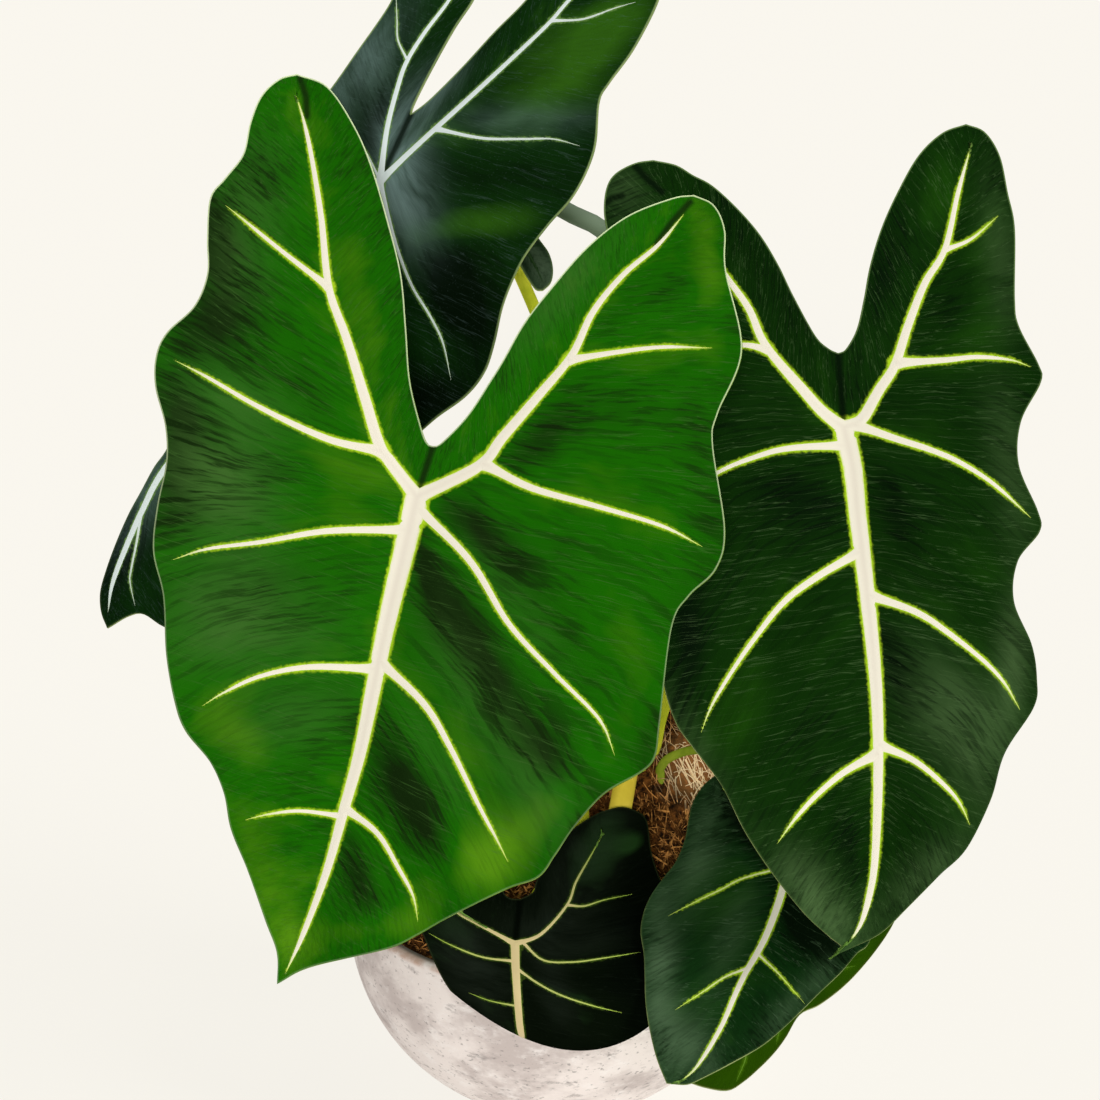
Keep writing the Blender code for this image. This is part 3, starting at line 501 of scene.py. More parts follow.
def sight_ways(points):
    """The direction in which each field point is seen from the viewpoint."""
    points = np.asarray(points, float)
    ahead = np.array((0.0, math.cos(LOOK_DOWN), -math.sin(LOOK_DOWN)))
    above = np.array((0.0, math.sin(LOOK_DOWN), math.cos(LOOK_DOWN)))
    right = np.array((1.0, 0.0, 0.0))
    across = (points[..., :1] - FIELD / 2) / FOCUS
    up = (FIELD / 2 - points[..., 1:2]) / FOCUS
    return ahead + across * right + up * above


def seen_at(x, y, behind):
    """The place at a field point that lies the given distance behind the pot's axis."""
    way = sight_ways((x, y))
    return EYE + way * (behind - EYE[1]) / way[1]


def blade_frame(leaf):
    """The junction's place, and the ways along the midrib, across it and out of the face."""
    lean, turn = math.radians(leaf["lean"]), math.radians(leaf["turn"])
    junction = seen_at(*leaf["junction"], leaf["behind"])
    out = np.array((math.sin(turn) * math.cos(lean), -math.cos(turn) * math.cos(lean),
                    math.sin(lean)))
    way = sight_ways(leaf["midrib"][-1])
    tip = EYE + way * ((junction - EYE) @ out) / (way @ out)
    along = unit(tip - junction)
    return junction, along, np.cross(along, out), out


def on_plane(leaf, points):
    """Where pattern points lie on the blade's flat plane, and the way each one is lifted."""
    junction, _, _, out = blade_frame(leaf)
    ways = sight_ways(points)
    spots = EYE + ways * (((junction - EYE) @ out) / (ways @ out))[:, None]
    return spots, -unit(ways)


def run_distance(spots, knots):
    """Each spot's distance from a run of straight stretches, and how far along it that is."""
    nearest, share = np.full(len(spots), FAR), np.zeros(len(spots))
    for index, (start, end) in enumerate(zip(knots, knots[1:])):
        run = end - start
        part = np.clip((spots - start) @ run / (run @ run), 0, 1)
        gap = np.linalg.norm(spots - start - part[:, None] * run, axis=1)
        share = np.where(gap < nearest, (index + part) / (len(knots) - 1), share)
        nearest = np.minimum(nearest, gap)
    return nearest, share


def veins(leaf):
    """Each vein's run, its half widths in the field at start and end, and its start's flare."""
    widths = leaf["widths"]
    yield leaf["midrib"], *widths["midrib"], 0.0
    yield leaf["right_basal"], *widths["basal"], 2.0
    yield leaf["left_basal"], *widths["basal"], 2.0
    ribs = np.vstack([smooth_run(leaf[key], 60) for key in ("midrib", "right_basal", "left_basal")])
    start, end = widths["lateral"]
    for lateral in leaf["laterals"]:
        rooted = ribs[np.argmin(np.linalg.norm(ribs - lateral[0], axis=1))]
        run = [tuple(rooted), *lateral[1:]]
        length = sum(math.dist(*pair) for pair in zip(run, run[1:]))
        wide = start * min(max(length / widths["full"], 0.4), 1.0)
        yield run, wide, min(end, wide), wide * 0.9


TAPER = 42.0
FLARE_REACH = 9.0


def half_width(points, share, start, end, flare):
    """A vein's half width along it: wider where it leaves its rib, and sharp at its end."""
    length = np.linalg.norm(np.diff(points, axis=0), axis=1).sum()
    sharp = np.clip((1 - share) * length / TAPER, 0.0, 1.0) ** 0.6
    return (start + (end - start) * share) * sharp + flare * np.exp(-share * length / FLARE_REACH)


def blade_surface(leaf, points):
    """The upper face: the flat plane, folded at the midrib, arched, and cushioned between veins."""
    junction, along, across, out = blade_frame(leaf)
    spots, lift = on_plane(leaf, points)
    down = (spots - junction) @ along
    side = (spots - junction) @ across
    half = np.hypot(side, CREASE) - CREASE
    tipward, lobeward = np.maximum(down, 0), np.maximum(-down, 0)
    height = leaf["fold"] * half - leaf["droop"] * half**2
    height -= leaf["arch"] * tipward**2 + leaf["lobe_back"] * lobeward**2
    distance = np.full(len(spots), 1.0)
    for run, *_ in veins(leaf):
        knots, _ = on_plane(leaf, smooth_run(run, 14))
        distance = np.minimum(distance, run_distance(spots, knots)[0])
    height += leaf["bulge"] * (1 - np.exp(-((distance / VEIN_REACH) ** 2)))
    if "roll_radius" in leaf:
        spots = rolled_under(leaf, spots, down, side)
    return spots + height[:, None] * lift


def rolled_under(leaf, spots, down, side):
    """Curls a blade's end under along a bowed line; up to its turn, all keep their field place."""
    _, along, _, out = blade_frame(leaf)
    radius = leaf["roll_radius"]
    slant = math.acos(-out @ unit(sight_ways(leaf["junction"])))
    start = leaf["roll_start"] - leaf["roll_bow"] * (side - leaf["roll_side"]) ** 2
    over = np.maximum(down - start, 0)
    sine = over * math.cos(slant) / radius - math.sin(slant)
    turn = slant + np.arcsin(np.clip(sine, -1, 1)) + np.maximum(sine - 1, 0)
    ahead = radius * np.sin(turn) - over
    under = radius * (1 - np.cos(turn))
    return spots + ahead[:, None] * along - under[:, None] * out


def faced(builder, leaf):
    """Turns the faces outwards, or all towards the blade's face side where most look away."""
    bmesh.ops.recalc_face_normals(builder, faces=builder.faces)
    out = blade_frame(leaf)[3]
    if sum(face.normal.dot(out) for face in builder.faces) < 0:
        bmesh.ops.reverse_faces(builder, faces=builder.faces)
    return builder


def face_ways(leaf, points):
    """The way out of the blade's upper face at pattern points."""
    points = np.asarray(points, float)
    across = blade_surface(leaf, points + (1.0, 0.0)) - blade_surface(leaf, points - (1.0, 0.0))
    down = blade_surface(leaf, points + (0.0, 1.0)) - blade_surface(leaf, points - (0.0, 1.0))
    return unit(np.cross(down, across))


def end_to_end(runs):
    """One run made of several, each of which starts where the one before ends."""
    return np.vstack([runs[0][:1], *[run[1:] for run in runs]])


def blade_loops(leaf, lobe, body):
    """The margin's samples, and for each the rib point that it grows from, in pattern points."""
    right_basal = smooth_run(leaf["right_basal"], lobe + 1)
    left_basal = smooth_run(leaf["left_basal"], lobe + 1)
    midrib = smooth_run(leaf["midrib"], body + 1)
    ribs = [right_basal, right_basal[::-1], midrib, midrib[::-1], left_basal, left_basal[::-1]]
    counts = (lobe + 1, lobe + body + 1, lobe + body + 1, lobe + 1)
    margin = [smooth_run(part, count) for part, count in zip(leaf["margin"], counts)]
    return end_to_end(margin), end_to_end(ribs)


def mark(mesh, name, values):
    """Keeps a value for each corner, for the blade's finish to read."""
    layer = mesh.attributes.new(name, "FLOAT", "POINT")
    layer.data.foreach_set("value", np.asarray(values, np.float32))


def read_mark(mesh, name):
    values = np.empty(len(mesh.vertices), np.float32)
    mesh.attributes[name].data.foreach_get("value", values)
    return values


def signed_offset(pattern, run):
    """How far pattern points lie beside a run, its first and last stretch drawn on for ever."""
    nearest, offset = np.full(len(pattern), FAR), np.zeros(len(pattern))
    for index, (start, end) in enumerate(zip(run, run[1:])):
        way = unit(end - start)
        reach = (pattern - start) @ way
        low = -FAR if index == 0 else 0.0
        high = FAR if index == len(run) - 2 else np.linalg.norm(end - start)
        apart = pattern - start - np.clip(reach, low, high)[:, None] * way
        gap = np.linalg.norm(apart, axis=1)
        side = way[0] * apart[:, 1] - way[1] * apart[:, 0]
        offset = np.where(gap < nearest, np.copysign(gap, side), offset)
        nearest = np.minimum(nearest, gap)
    return offset


FLOW_STEP = 90.0
ROOT_REACH = 16
SIDES_APART = 30


def flow(leaf, pattern, phase, lobe, body):
    """A measure across the side veins on both sides, for wrinkles that run with them."""
    measure = phase.copy()
    margin = blade_loops(leaf, lobe, body)[0]
    lengths = np.r_[0, np.cumsum(np.linalg.norm(np.diff(margin, axis=0), axis=1))]
    for basal, first, last, tipward in (("right_basal", lobe, 2 * lobe + body, 1),
                                        ("left_basal", 2 * lobe + body, 3 * lobe + 2 * body, -1)):
        spine = np.vstack([smooth_run(leaf[basal], 40)[:0:-1], smooth_run(leaf["midrib"], 60)])
        beside = []
        for lateral in leaf["laterals"]:
            run = smooth_run(lateral, 12)
            middle = run[len(run) // 2][None, :]
            root = np.linalg.norm(spine - run[0], axis=1)
            if root.min() < ROOT_REACH and signed_offset(middle, spine)[0] * tipward < 0:
                beside.append((int(root.argmin()), run))
        beside.sort(key=lambda found: found[0])
        offsets = [signed_offset(pattern, run) * tipward for _, run in beside]
        across = offsets[0] / FLOW_STEP
        for index, (before, after) in enumerate(zip(offsets, offsets[1:])):
            share = before / np.maximum(before - after, 1.0)
            across = np.where(before > 0, index + share, across)
        across = np.where(offsets[-1] > 0, len(offsets) - 1 + offsets[-1] / FLOW_STEP, across)
        here = (phase >= lengths[first]) & (phase <= lengths[last])
        measure[here] = (across[here] + SIDES_APART * tipward) * FLOW_STEP
    return measure


def blade(name, leaf, lobe, body, rings, finishes, slot):
    """The blade as a thin solid: its face, its underside and its pale edge."""
    margin, ribs = blade_loops(leaf, lobe, body)
    columns = len(margin) - 1
    stops = np.r_[np.linspace(0, RIM_STOPS[0], rings - 2), RIM_STOPS[1:]]
    phase = np.r_[0, np.cumsum(np.linalg.norm(np.diff(margin, axis=0), axis=1))]

    def place_at(across, outward):
        column = np.rint(across * columns).astype(int)
        out = stops[np.rint(outward * rings).astype(int)]
        pattern = ribs[column] + (margin[column] - ribs[column]) * out[:, None]
        return np.column_stack([blade_surface(leaf, pattern), pattern, phase[column], out])

    builder = sheet(columns, rings, place_at, None, ("field_x", "field_y", "phase", "outward"))
    bmesh.ops.remove_doubles(builder, verts=builder.verts, dist=BLADE_MERGE)
    piece = put(name + "_blade", faced(builder, leaf), finishes, name)
    mesh = piece.data
    pattern = np.column_stack([read_mark(mesh, "field_x"), read_mark(mesh, "field_y")])
    halo = np.full(len(pattern), FAR)
    for run, start, end, flare in veins(leaf):
        points = smooth_run(run, 40)
        gap, share = run_distance(pattern, points)
        fading = HALO * np.clip(4 * share - 3, 0, 1) ** 2
        halo = np.minimum(halo, gap - half_width(points, share, start, end, flare) + fading)
    # Distances to the slit at the sinus and to the creases, where painted shade is laid.
    slit_shade = np.full(len(pattern), FAR)
    for line in ([margin[0], ribs[0]], *leaf.get("creases", ())):
        slit_shade = np.minimum(slit_shade, run_distance(pattern, np.array(line, float))[0])
    mark(mesh, "flow", flow(leaf, pattern, read_mark(mesh, "phase"), lobe, body))
    mark(mesh, "halo", halo)
    mark(mesh, "rim", run_distance(pattern, margin)[0])
    mark(mesh, "slit_shade", slit_shade)
    # The shade mark holds the tones patches: painted light and shade, with darker furrows, shadows
    # cast by other leaves and lit places.
    mark(mesh, "shade", patches(leaf, "tones", pattern))
    mark(mesh, "dust", patches(leaf, "dust", pattern))
    wall = piece.modifiers.new("wall", "SOLIDIFY")
    wall.thickness = BLADE_WALL
    wall.offset = -1
    wall.material_offset = 1
    wall.material_offset_rim = 2


def patches(leaf, key, pattern):
    """Places where the blade differs: each is a centre, two reaches, a turn and an amount."""
    total = np.zeros(len(pattern))
    for x, y, long, short, turn, change in leaf.get(key, ()):
        turn = math.radians(turn)
        dx, dy = pattern[:, 0] - x, pattern[:, 1] - y
        u = (dx * math.cos(turn) + dy * math.sin(turn)) / long
        v = (dy * math.cos(turn) - dx * math.sin(turn)) / short
        total += change * np.exp(-(u * u + v * v))
    return total


VEIN_RISE = 0.00022
VEIN_SINK = 0.00006
VEIN_LIFT = 0.00003
VEIN_STEPS = 80


def vein_strips(name, leaf, finish):
    """The veins' low rounded ridges on the blade's face, each tapering to its end."""
    builder = bmesh.new()
    for run, start, end, flare in veins(leaf):
        points = smooth_run(run, VEIN_STEPS + 1)
        ways = unit(np.gradient(points, axis=0))
        sides = np.column_stack([-ways[:, 1], ways[:, 0]])
        half = half_width(points, np.linspace(0, 1, VEIN_STEPS + 1), start, end, flare) + 0.1

        def place_at(along, across):
            row = np.rint(along * VEIN_STEPS).astype(int)
            aside = across * 2 - 1
            pattern = points[row] + sides[row] * (half[row] * aside)[:, None]
            lift = VEIN_RISE * (1 - aside**2) * np.minimum(half[row] / 6, 1) - VEIN_SINK * aside**2
            spots = blade_surface(leaf, pattern)
            spots = spots + face_ways(leaf, pattern) * (lift + VEIN_LIFT)[:, None]
            return np.column_stack([spots, abs(aside), half[row]])

        sheet(VEIN_STEPS, 6, place_at, builder, ("aside", "half"))
    put(name + "_veins", faced(builder, leaf), [finish], name)


def tube(builder, path, radii, sides):
    """A round rod along a path, with a radius at each point, open at both ends."""
    ways = unit(np.gradient(path, axis=0))
    rims = [unit(np.cross(ways[0], (0.3, 0.2, 0.93)))]
    for way in ways[1:]:
        rims.append(unit(rims[-1] - way * (rims[-1] @ way)))
    rims = np.array(rims)
    others = np.cross(ways, rims)
    rows = len(path) - 1
    radii = np.asarray(radii)

    def place_at(around, length):
        row = np.rint(length * rows).astype(int)
        turn = (around * 2 * math.pi)[:, None]
        ring = np.cos(turn) * rims[row] + np.sin(turn) * others[row]
        return np.column_stack([path[row] + radii[row][:, None] * ring, length])

    return sheet(sides, rows, place_at, builder, ("along",))


STALK_DEPTH = 0.026
STALK_BEND = 2.2
STALK_RISE = 3.0
STALK_STEPS = 90
STALK_SIDES = 18
RIB_SINK = 0.75
RIB_START, SIDE_RIB_START = 0.75, 0.4
RIB_DEPTH, SIDE_RIB_DEPTH = 0.9, 0.6
RIB_END_RADIUS = 0.0005
RIB_STEPS = 50
RIB_SIDES = 8


def stalk_path(leaf, count):
    """The stalk's run from inside the root ball, up and over to the back of the junction."""
    foot = np.array((*leaf["foot"], mound_height(*leaf["foot"])))
    radius = leaf["stalk_radius"][1]
    out = face_ways(leaf, [leaf["midrib"][0]])[0]
    above = [seen_at(*point) for point in leaf["stalk"]]
    rise = unit(unit(above[0] - foot) + np.array((0.0, 0.0, STALK_RISE)))
    end = blade_surface(leaf, [leaf["midrib"][0]])[0] - out * (radius + RIB_SINK * BLADE_WALL)
    before = end - out * STALK_BEND * radius
    return smooth_run([foot - rise * STALK_DEPTH, foot, *above, before, end], count)


def stalk_and_ribs(name, leaf, stalk_finish, rib_finish):
    """The stalk as one tapering rod, and the ribs that stand out of the blade's back."""
    radii = np.linspace(*leaf["stalk_radius"], STALK_STEPS)
    builder = tube(bmesh.new(), stalk_path(leaf, STALK_STEPS), radii, STALK_SIDES)
    put(name + "_stalk", closed(builder), [stalk_finish], name)
    builder = bmesh.new()
    for index, (run, *_) in enumerate(veins(leaf)):
        start, sink = (RIB_START, RIB_DEPTH) if index < 3 else (SIDE_RIB_START, SIDE_RIB_DEPTH)
        radii = np.linspace(start * leaf["stalk_radius"][1], RIB_END_RADIUS, RIB_STEPS)
        points = smooth_run(run, RIB_STEPS)
        depth = radii * sink + BLADE_WALL
        path = blade_surface(leaf, points) - face_ways(leaf, points) * depth[:, None]
        tube(builder, path[:-2], radii[:-2], RIB_SIDES)
    put(name + "_back_ribs", closed(builder, merge=MERGE / 2), [rib_finish], name)


def read(tree, name):
    return node(tree, "ShaderNodeAttribute", attribute_name=name).outputs["Fac"]


def blade_finish(name, deep, middle, bright, lime, rim_tone, dusty, lines=1.0, glow=1.2):
    """A velvety leaf face: three greens by painted light and shade and cloudy noise, fine ribs with
    painted sheen and wrinkles with painted shade along it, lime beside the veins, a greyish bloom
    and painted sheen in places, painted shade at the slit and creases, and a pale rim that turns to
    a painted highlight higher up."""
    material, tree, place = started(name)
    outward, shade = read(tree, "outward"), read(tree, "shade")
    sway = noise(tree, place, 38.0, 2.0, 0.5)

    def along_ribs(fast, slow, bend, shift, measure="flow"):
        across = math_of(tree, "MULTIPLY", read(tree, measure), fast)
        across = math_of(tree, "ADD", across, math_of(tree, "MULTIPLY", sway, bend))
        down = math_of(tree, "MULTIPLY", outward, slow)
        laid = node(tree, "ShaderNodeCombineXYZ", {0: across, 1: down})
        return noise(tree, laid.outputs[0], 1.0, 3.0, 0.6, shift=shift)

    clouds = noise(tree, place, 22.0, 3.0, 0.55)
    broad = along_ribs(0.035, 1.4, 1.5, 4.0)
    near = steps(tree, read(tree, "halo"), 0.0, 46.0, 0.13, 0.0)
    # The greens follow painted light and shade from the tones patches, mixed with cloudy noise and
    # a lift beside the veins.
    level = math_of(tree, "ADD", shade, math_of(tree, "MULTIPLY", clouds, 0.45))
    level = math_of(tree, "ADD", level, math_of(tree, "MULTIPLY", broad, 0.40))
    level = math_of(tree, "ADD", level, near)
    tone = blend(tree, steps(tree, level, 0.10, 0.48, kind="LINEAR"), deep, middle)
    tone = blend(tree, steps(tree, level, 0.54, 0.92, kind="LINEAR"), tone, bright)
    # Greyish patches: partly a real bloom, partly painted sheen where the velvet catches the light.
    grey = math_of(tree, "MULTIPLY", read(tree, "dust"), steps(tree, broad, 0.30, 0.62, 0.45, 1.0))
    tone = blend(tree, grey, tone, dusty)
    wrinkles = along_ribs(0.34, 3.6, 2.0, 0.0)
    # Painted shade in the wrinkles: dark lines along the side veins, strongest where the leaf is
    # painted darkest.
    wrinkle_shade = math_of(tree, "MULTIPLY", steps(tree, wrinkles, 0.38, 0.54, 0.95 * lines, 0.0),
                         steps(tree, level, 0.20, 0.62, 1.0, 0.16))
    tone = blend(tree, wrinkle_shade, tone, deep)
    # Pale lines along the fine ribs: real ribs, with painted sheen on them.
    fine_rib_sheen = math_of(tree, "SUBTRACT", along_ribs(0.12, 0.9, 1.6, 9.0, "phase"), 0.5)
    fine_rib_sheen = math_of(tree, "ABSOLUTE", fine_rib_sheen, None)
    tone = blend(tree, steps(tree, fine_rib_sheen, 0.0, 0.012, 0.42 * lines**2, 0.0), tone, dusty)
    grain = noise(tree, place, 1300.0, 2.0)
    tone = blend(tree, steps(tree, grain, 0.62, 0.80, 0.0, 0.16), tone, dusty)
    ragged = math_of(tree, "ADD", read(tree, "halo"),
                     math_of(tree, "MULTIPLY", noise(tree, place, 700.0, 2.0), -4.0))
    tone = blend(tree, steps(tree, ragged, -2.6, glow, 1.0, 0.0), tone, lime)
    # Painted shade along the slit at the sinus and along the creases.
    tone = blend(tree, steps(tree, read(tree, "slit_shade"), 0.8, 6.0, 0.9, 0.0), tone, deep)
    # The pale rim is the margin's own colour low down, growing into a painted highlight higher up.
    pale = math_of(tree, "MULTIPLY", steps(tree, read(tree, "rim"), 0.6, 1.8, 1.0, 0.0),
                   steps(tree, along_axis(tree, place, 2), 0.20, 0.42, 0.12, 0.95))
    tone = blend(tree, pale, tone, rim_tone)
    folds = bump(tree, 0.35, 0.0008, wrinkles)
    surface(tree, tone, 0.55, 0.0, bump(tree, 0.12, 0.0002, grain, folds))
    return material


def plain_finish(name, first, second, scale, top=None):
    """Two close tones of one plant part, clouded into each other, and a third up a stalk."""
    material, tree, place = started(name)
    clouds = noise(tree, place, scale, 4.0, 0.6)
    tone = blend(tree, steps(tree, clouds, 0.35, 0.68), first, second)
    if top:
        tone = blend(tree, steps(tree, read(tree, "along"), 0.22, 0.45), tone, top)
    surface(tree, tone, 0.5, 0.0, bump(tree, 0.15, 0.0004, clouds))
    return material


def vein_finish(name, core, edge):
    """A vein's pale core, which turns lime at both sides and where it is thin."""
    material, tree, place = started(name)
    clouds = noise(tree, place, 240.0, 3.0, 0.6)
    outer = math_of(tree, "ADD", read(tree, "aside"), math_of(tree, "MULTIPLY", clouds, 0.25))
    tone = blend(tree, steps(tree, outer, 0.86, 1.16), core, edge)
    groove = math_of(tree, "MULTIPLY", steps(tree, read(tree, "aside"), 0.0, 0.55, 0.26, 0.0),
                     steps(tree, read(tree, "half"), 4.0, 9.0))
    tone = blend(tree, groove, tone, (0.52, 0.44, 0.38, 1))
    thin = steps(tree, read(tree, "half"), 0.3, 2.0, 0.9, 0.0)
    tone = blend(tree, thin, tone, edge)
    surface(tree, tone, 0.5, 0.1, bump(tree, 0.2, 0.0003, clouds))
    return material


underside = plain_finish("leaf underside", (0.10, 0.21, 0.035, 1), (0.17, 0.30, 0.06, 1), 60.0)
back_rib = plain_finish("rib on the back", (0.30, 0.42, 0.12, 1), (0.45, 0.52, 0.22, 1), 90.0)
stalk_yellow = plain_finish("yellow-green stalk", (0.46, 0.50, 0.025, 1),
                            (0.76, 0.74, 0.06, 1), 45.0)
cream_vein = vein_finish("cream vein", (0.74, 0.70, 0.59, 1), (0.50, 0.66, 0.05, 1))
pale_edge = plain_finish("pale leaf edge", (0.10, 0.20, 0.02, 1), (0.24, 0.36, 0.08, 1), 70.0)
LIME = (0.34, 0.54, 0.015, 1)


def whole_leaf(name, leaf, counts, face, edge, vein, stalk, slot):
    """A leaf's four pieces: its blade, its veins, its stalk, and the ribs on its back."""
    blade(name, leaf, *counts, [face, underside, edge], slot)
    vein_strips(name, leaf, vein)
    stalk_and_ribs(name, leaf, stalk, back_rib)


bright_face = blade_finish("bright velvet leaf", (0.006, 0.018, 0.003, 1), (0.008, 0.104, 0.001, 1),
                           (0.072, 0.212, 0.005, 1), LIME, (0.62, 0.74, 0.42, 1),
                           (0.045, 0.118, 0.022, 1))
whole_leaf("leaf_front_left", FRONT_LEFT, (90, 160, 56), bright_face, pale_edge, cream_vein,
           stalk_yellow, "bright_leaf")


# The large leaf on the right
# A second arrow-shaped blade of the same build, darker, and greyer at its right side with a bloom
# and painted sheen, with a hooked tip and its left lobe turned back.
RIGHT = leaf_lines(
    junction=(844, 428), behind=-0.010, lean=36, turn=6,
    margin=[
        [(838, 353), (846, 349), (857, 329), (864, 299), (870, 266), (881, 229), (897, 193),
         (918, 156), (942, 133), (966, 124)],
        [(985, 132), (1000, 156), (1008, 193), (1015, 229), (1015, 299), (1019, 326), (1039, 365),
         (1041, 382), (1021, 422), (1019, 465), (1038, 511), (1040, 531), (1018, 561), (1014, 601),
         (1032, 645), (1037, 680), (1034, 707), (1005, 753), (991, 799), (967, 848), (940, 875),
         (909, 906), (882, 932), (856, 946), (829, 958)],
        [(842, 948), (830, 937), (805, 914), (774, 875), (745, 831), (721, 784), (693, 747),
         (676, 722), (664, 684), (660, 645), (668, 608), (684, 578), (678, 545), (676, 512),
         (690, 482), (692, 455), (676, 425), (668, 395), (666, 360), (652, 322), (632, 290),
         (614, 258), (606, 226), (604, 206), (607, 186), (616, 173), (635, 163), (653, 160)],
        [(676, 165), (693, 175), (713, 186), (739, 210), (761, 236), (779, 266), (793, 295),
         (815, 335), (828, 348)]],
    midrib=[(853, 470), (858, 518), (866, 584), (875, 672), (878, 730), (878, 787), (876, 844),
        (872, 883), (862, 921), (849, 943)],
    basals=[
        [(862, 419), (878, 392), (895, 365), (908, 326), (925, 283), (945, 249), (958, 193),
         (971, 146)],
        [(824, 413), (804, 391), (766, 346), (749, 309), (728, 279), (700, 240), (684, 218),
         (676, 208)]],
    laterals=[
        [(898, 364), (945, 360), (978, 357), (1011, 360), (1031, 367)],
        [(948, 253), (971, 239), (998, 216)],
        [(860, 432), (897, 439), (931, 450), (961, 463), (995, 485), (1031, 518)],
        [(841, 443), (792, 448), (758, 456), (717, 473), (684, 500)],
        [(768, 348), (743, 345), (700, 349), (674, 358)],
        [(858, 555), (817, 577), (783, 603), (752, 642), (729, 676), (711, 707), (701, 733)],
        [(872, 594), (916, 612), (950, 634), (985, 662), (1005, 684), (1020, 710)],
        [(874, 755), (846, 771), (819, 793), (795, 819), (777, 844)],
        [(880, 744), (913, 760), (940, 781), (959, 802), (970, 825)]],
    fold=0.14, droop=1.0, arch=0.35, lobe_back=0.7, bulge=0.0060,
    tones=[(890, 260, 60, 18, 105, -0.20), (800, 500, 60, 30, 20, -0.20),
        (940, 190, 50, 26, 100, 0.25), (985, 290, 60, 26, 90, 0.22), (745, 720, 60, 30, -55, 0.30),
        (830, 640, 60, 26, -60, 0.12), (960, 420, 60, 22, 20, 0.10), (970, 560, 60, 26, 35, 0.15),
        (760, 470, 60, 30, 0, -0.10), (690, 640, 60, 20, 90, -0.40), (890, 660, 50, 14, 70, -0.25),
        (895, 510, 50, 14, 70, -0.20), (850, 850, 50, 12, 80, -0.20), (740, 250, 60, 20, 50, -0.10),
        (860, 400, 30, 20, 0, -0.15)],
    dust=[(965, 730, 75, 38, 60, 0.75), (820, 905, 60, 26, 50, 1.0), (1015, 660, 60, 18, 95, 0.85),
        (1010, 470, 70, 20, 80, 0.40), (1000, 250, 70, 18, 85, 0.35), (925, 880, 55, 22, -45, 0.55),
        (690, 740, 60, 18, 60, 0.40), (620, 190, 40, 24, 90, 0.35)],
    creases=[[(635, 166), (648, 180), (662, 192)], [(604, 204), (612, 198), (622, 196)]],
    foot=(0.0350, 0.0040), stalk_radius=(0.0037, 0.0030),
    stalk=[(652, 748, 0.008), (662, 706, 0.014), (700, 610, 0.036), (780, 460, 0.048),
        (826, 402, 0.028)],
    widths=dict(midrib=(10.6, 2.6), basal=(6.2, 1.6), lateral=(4.2, 1.2), full=140))
dark_face = blade_finish("dark velvet leaf", (0.002, 0.006, 0.002, 1), (0.004, 0.022, 0.002, 1),
                         (0.012, 0.062, 0.003, 1), LIME, (0.13, 0.21, 0.07, 1),
                         (0.055, 0.108, 0.036, 1))
olive_edge = plain_finish("olive leaf edge", (0.16, 0.22, 0.07, 1), (0.30, 0.36, 0.14, 1), 70.0)
whole_leaf("leaf_right", RIGHT, (90, 160, 56), dark_face, olive_edge, cream_vein,
           stalk_yellow, "dark_leaf")


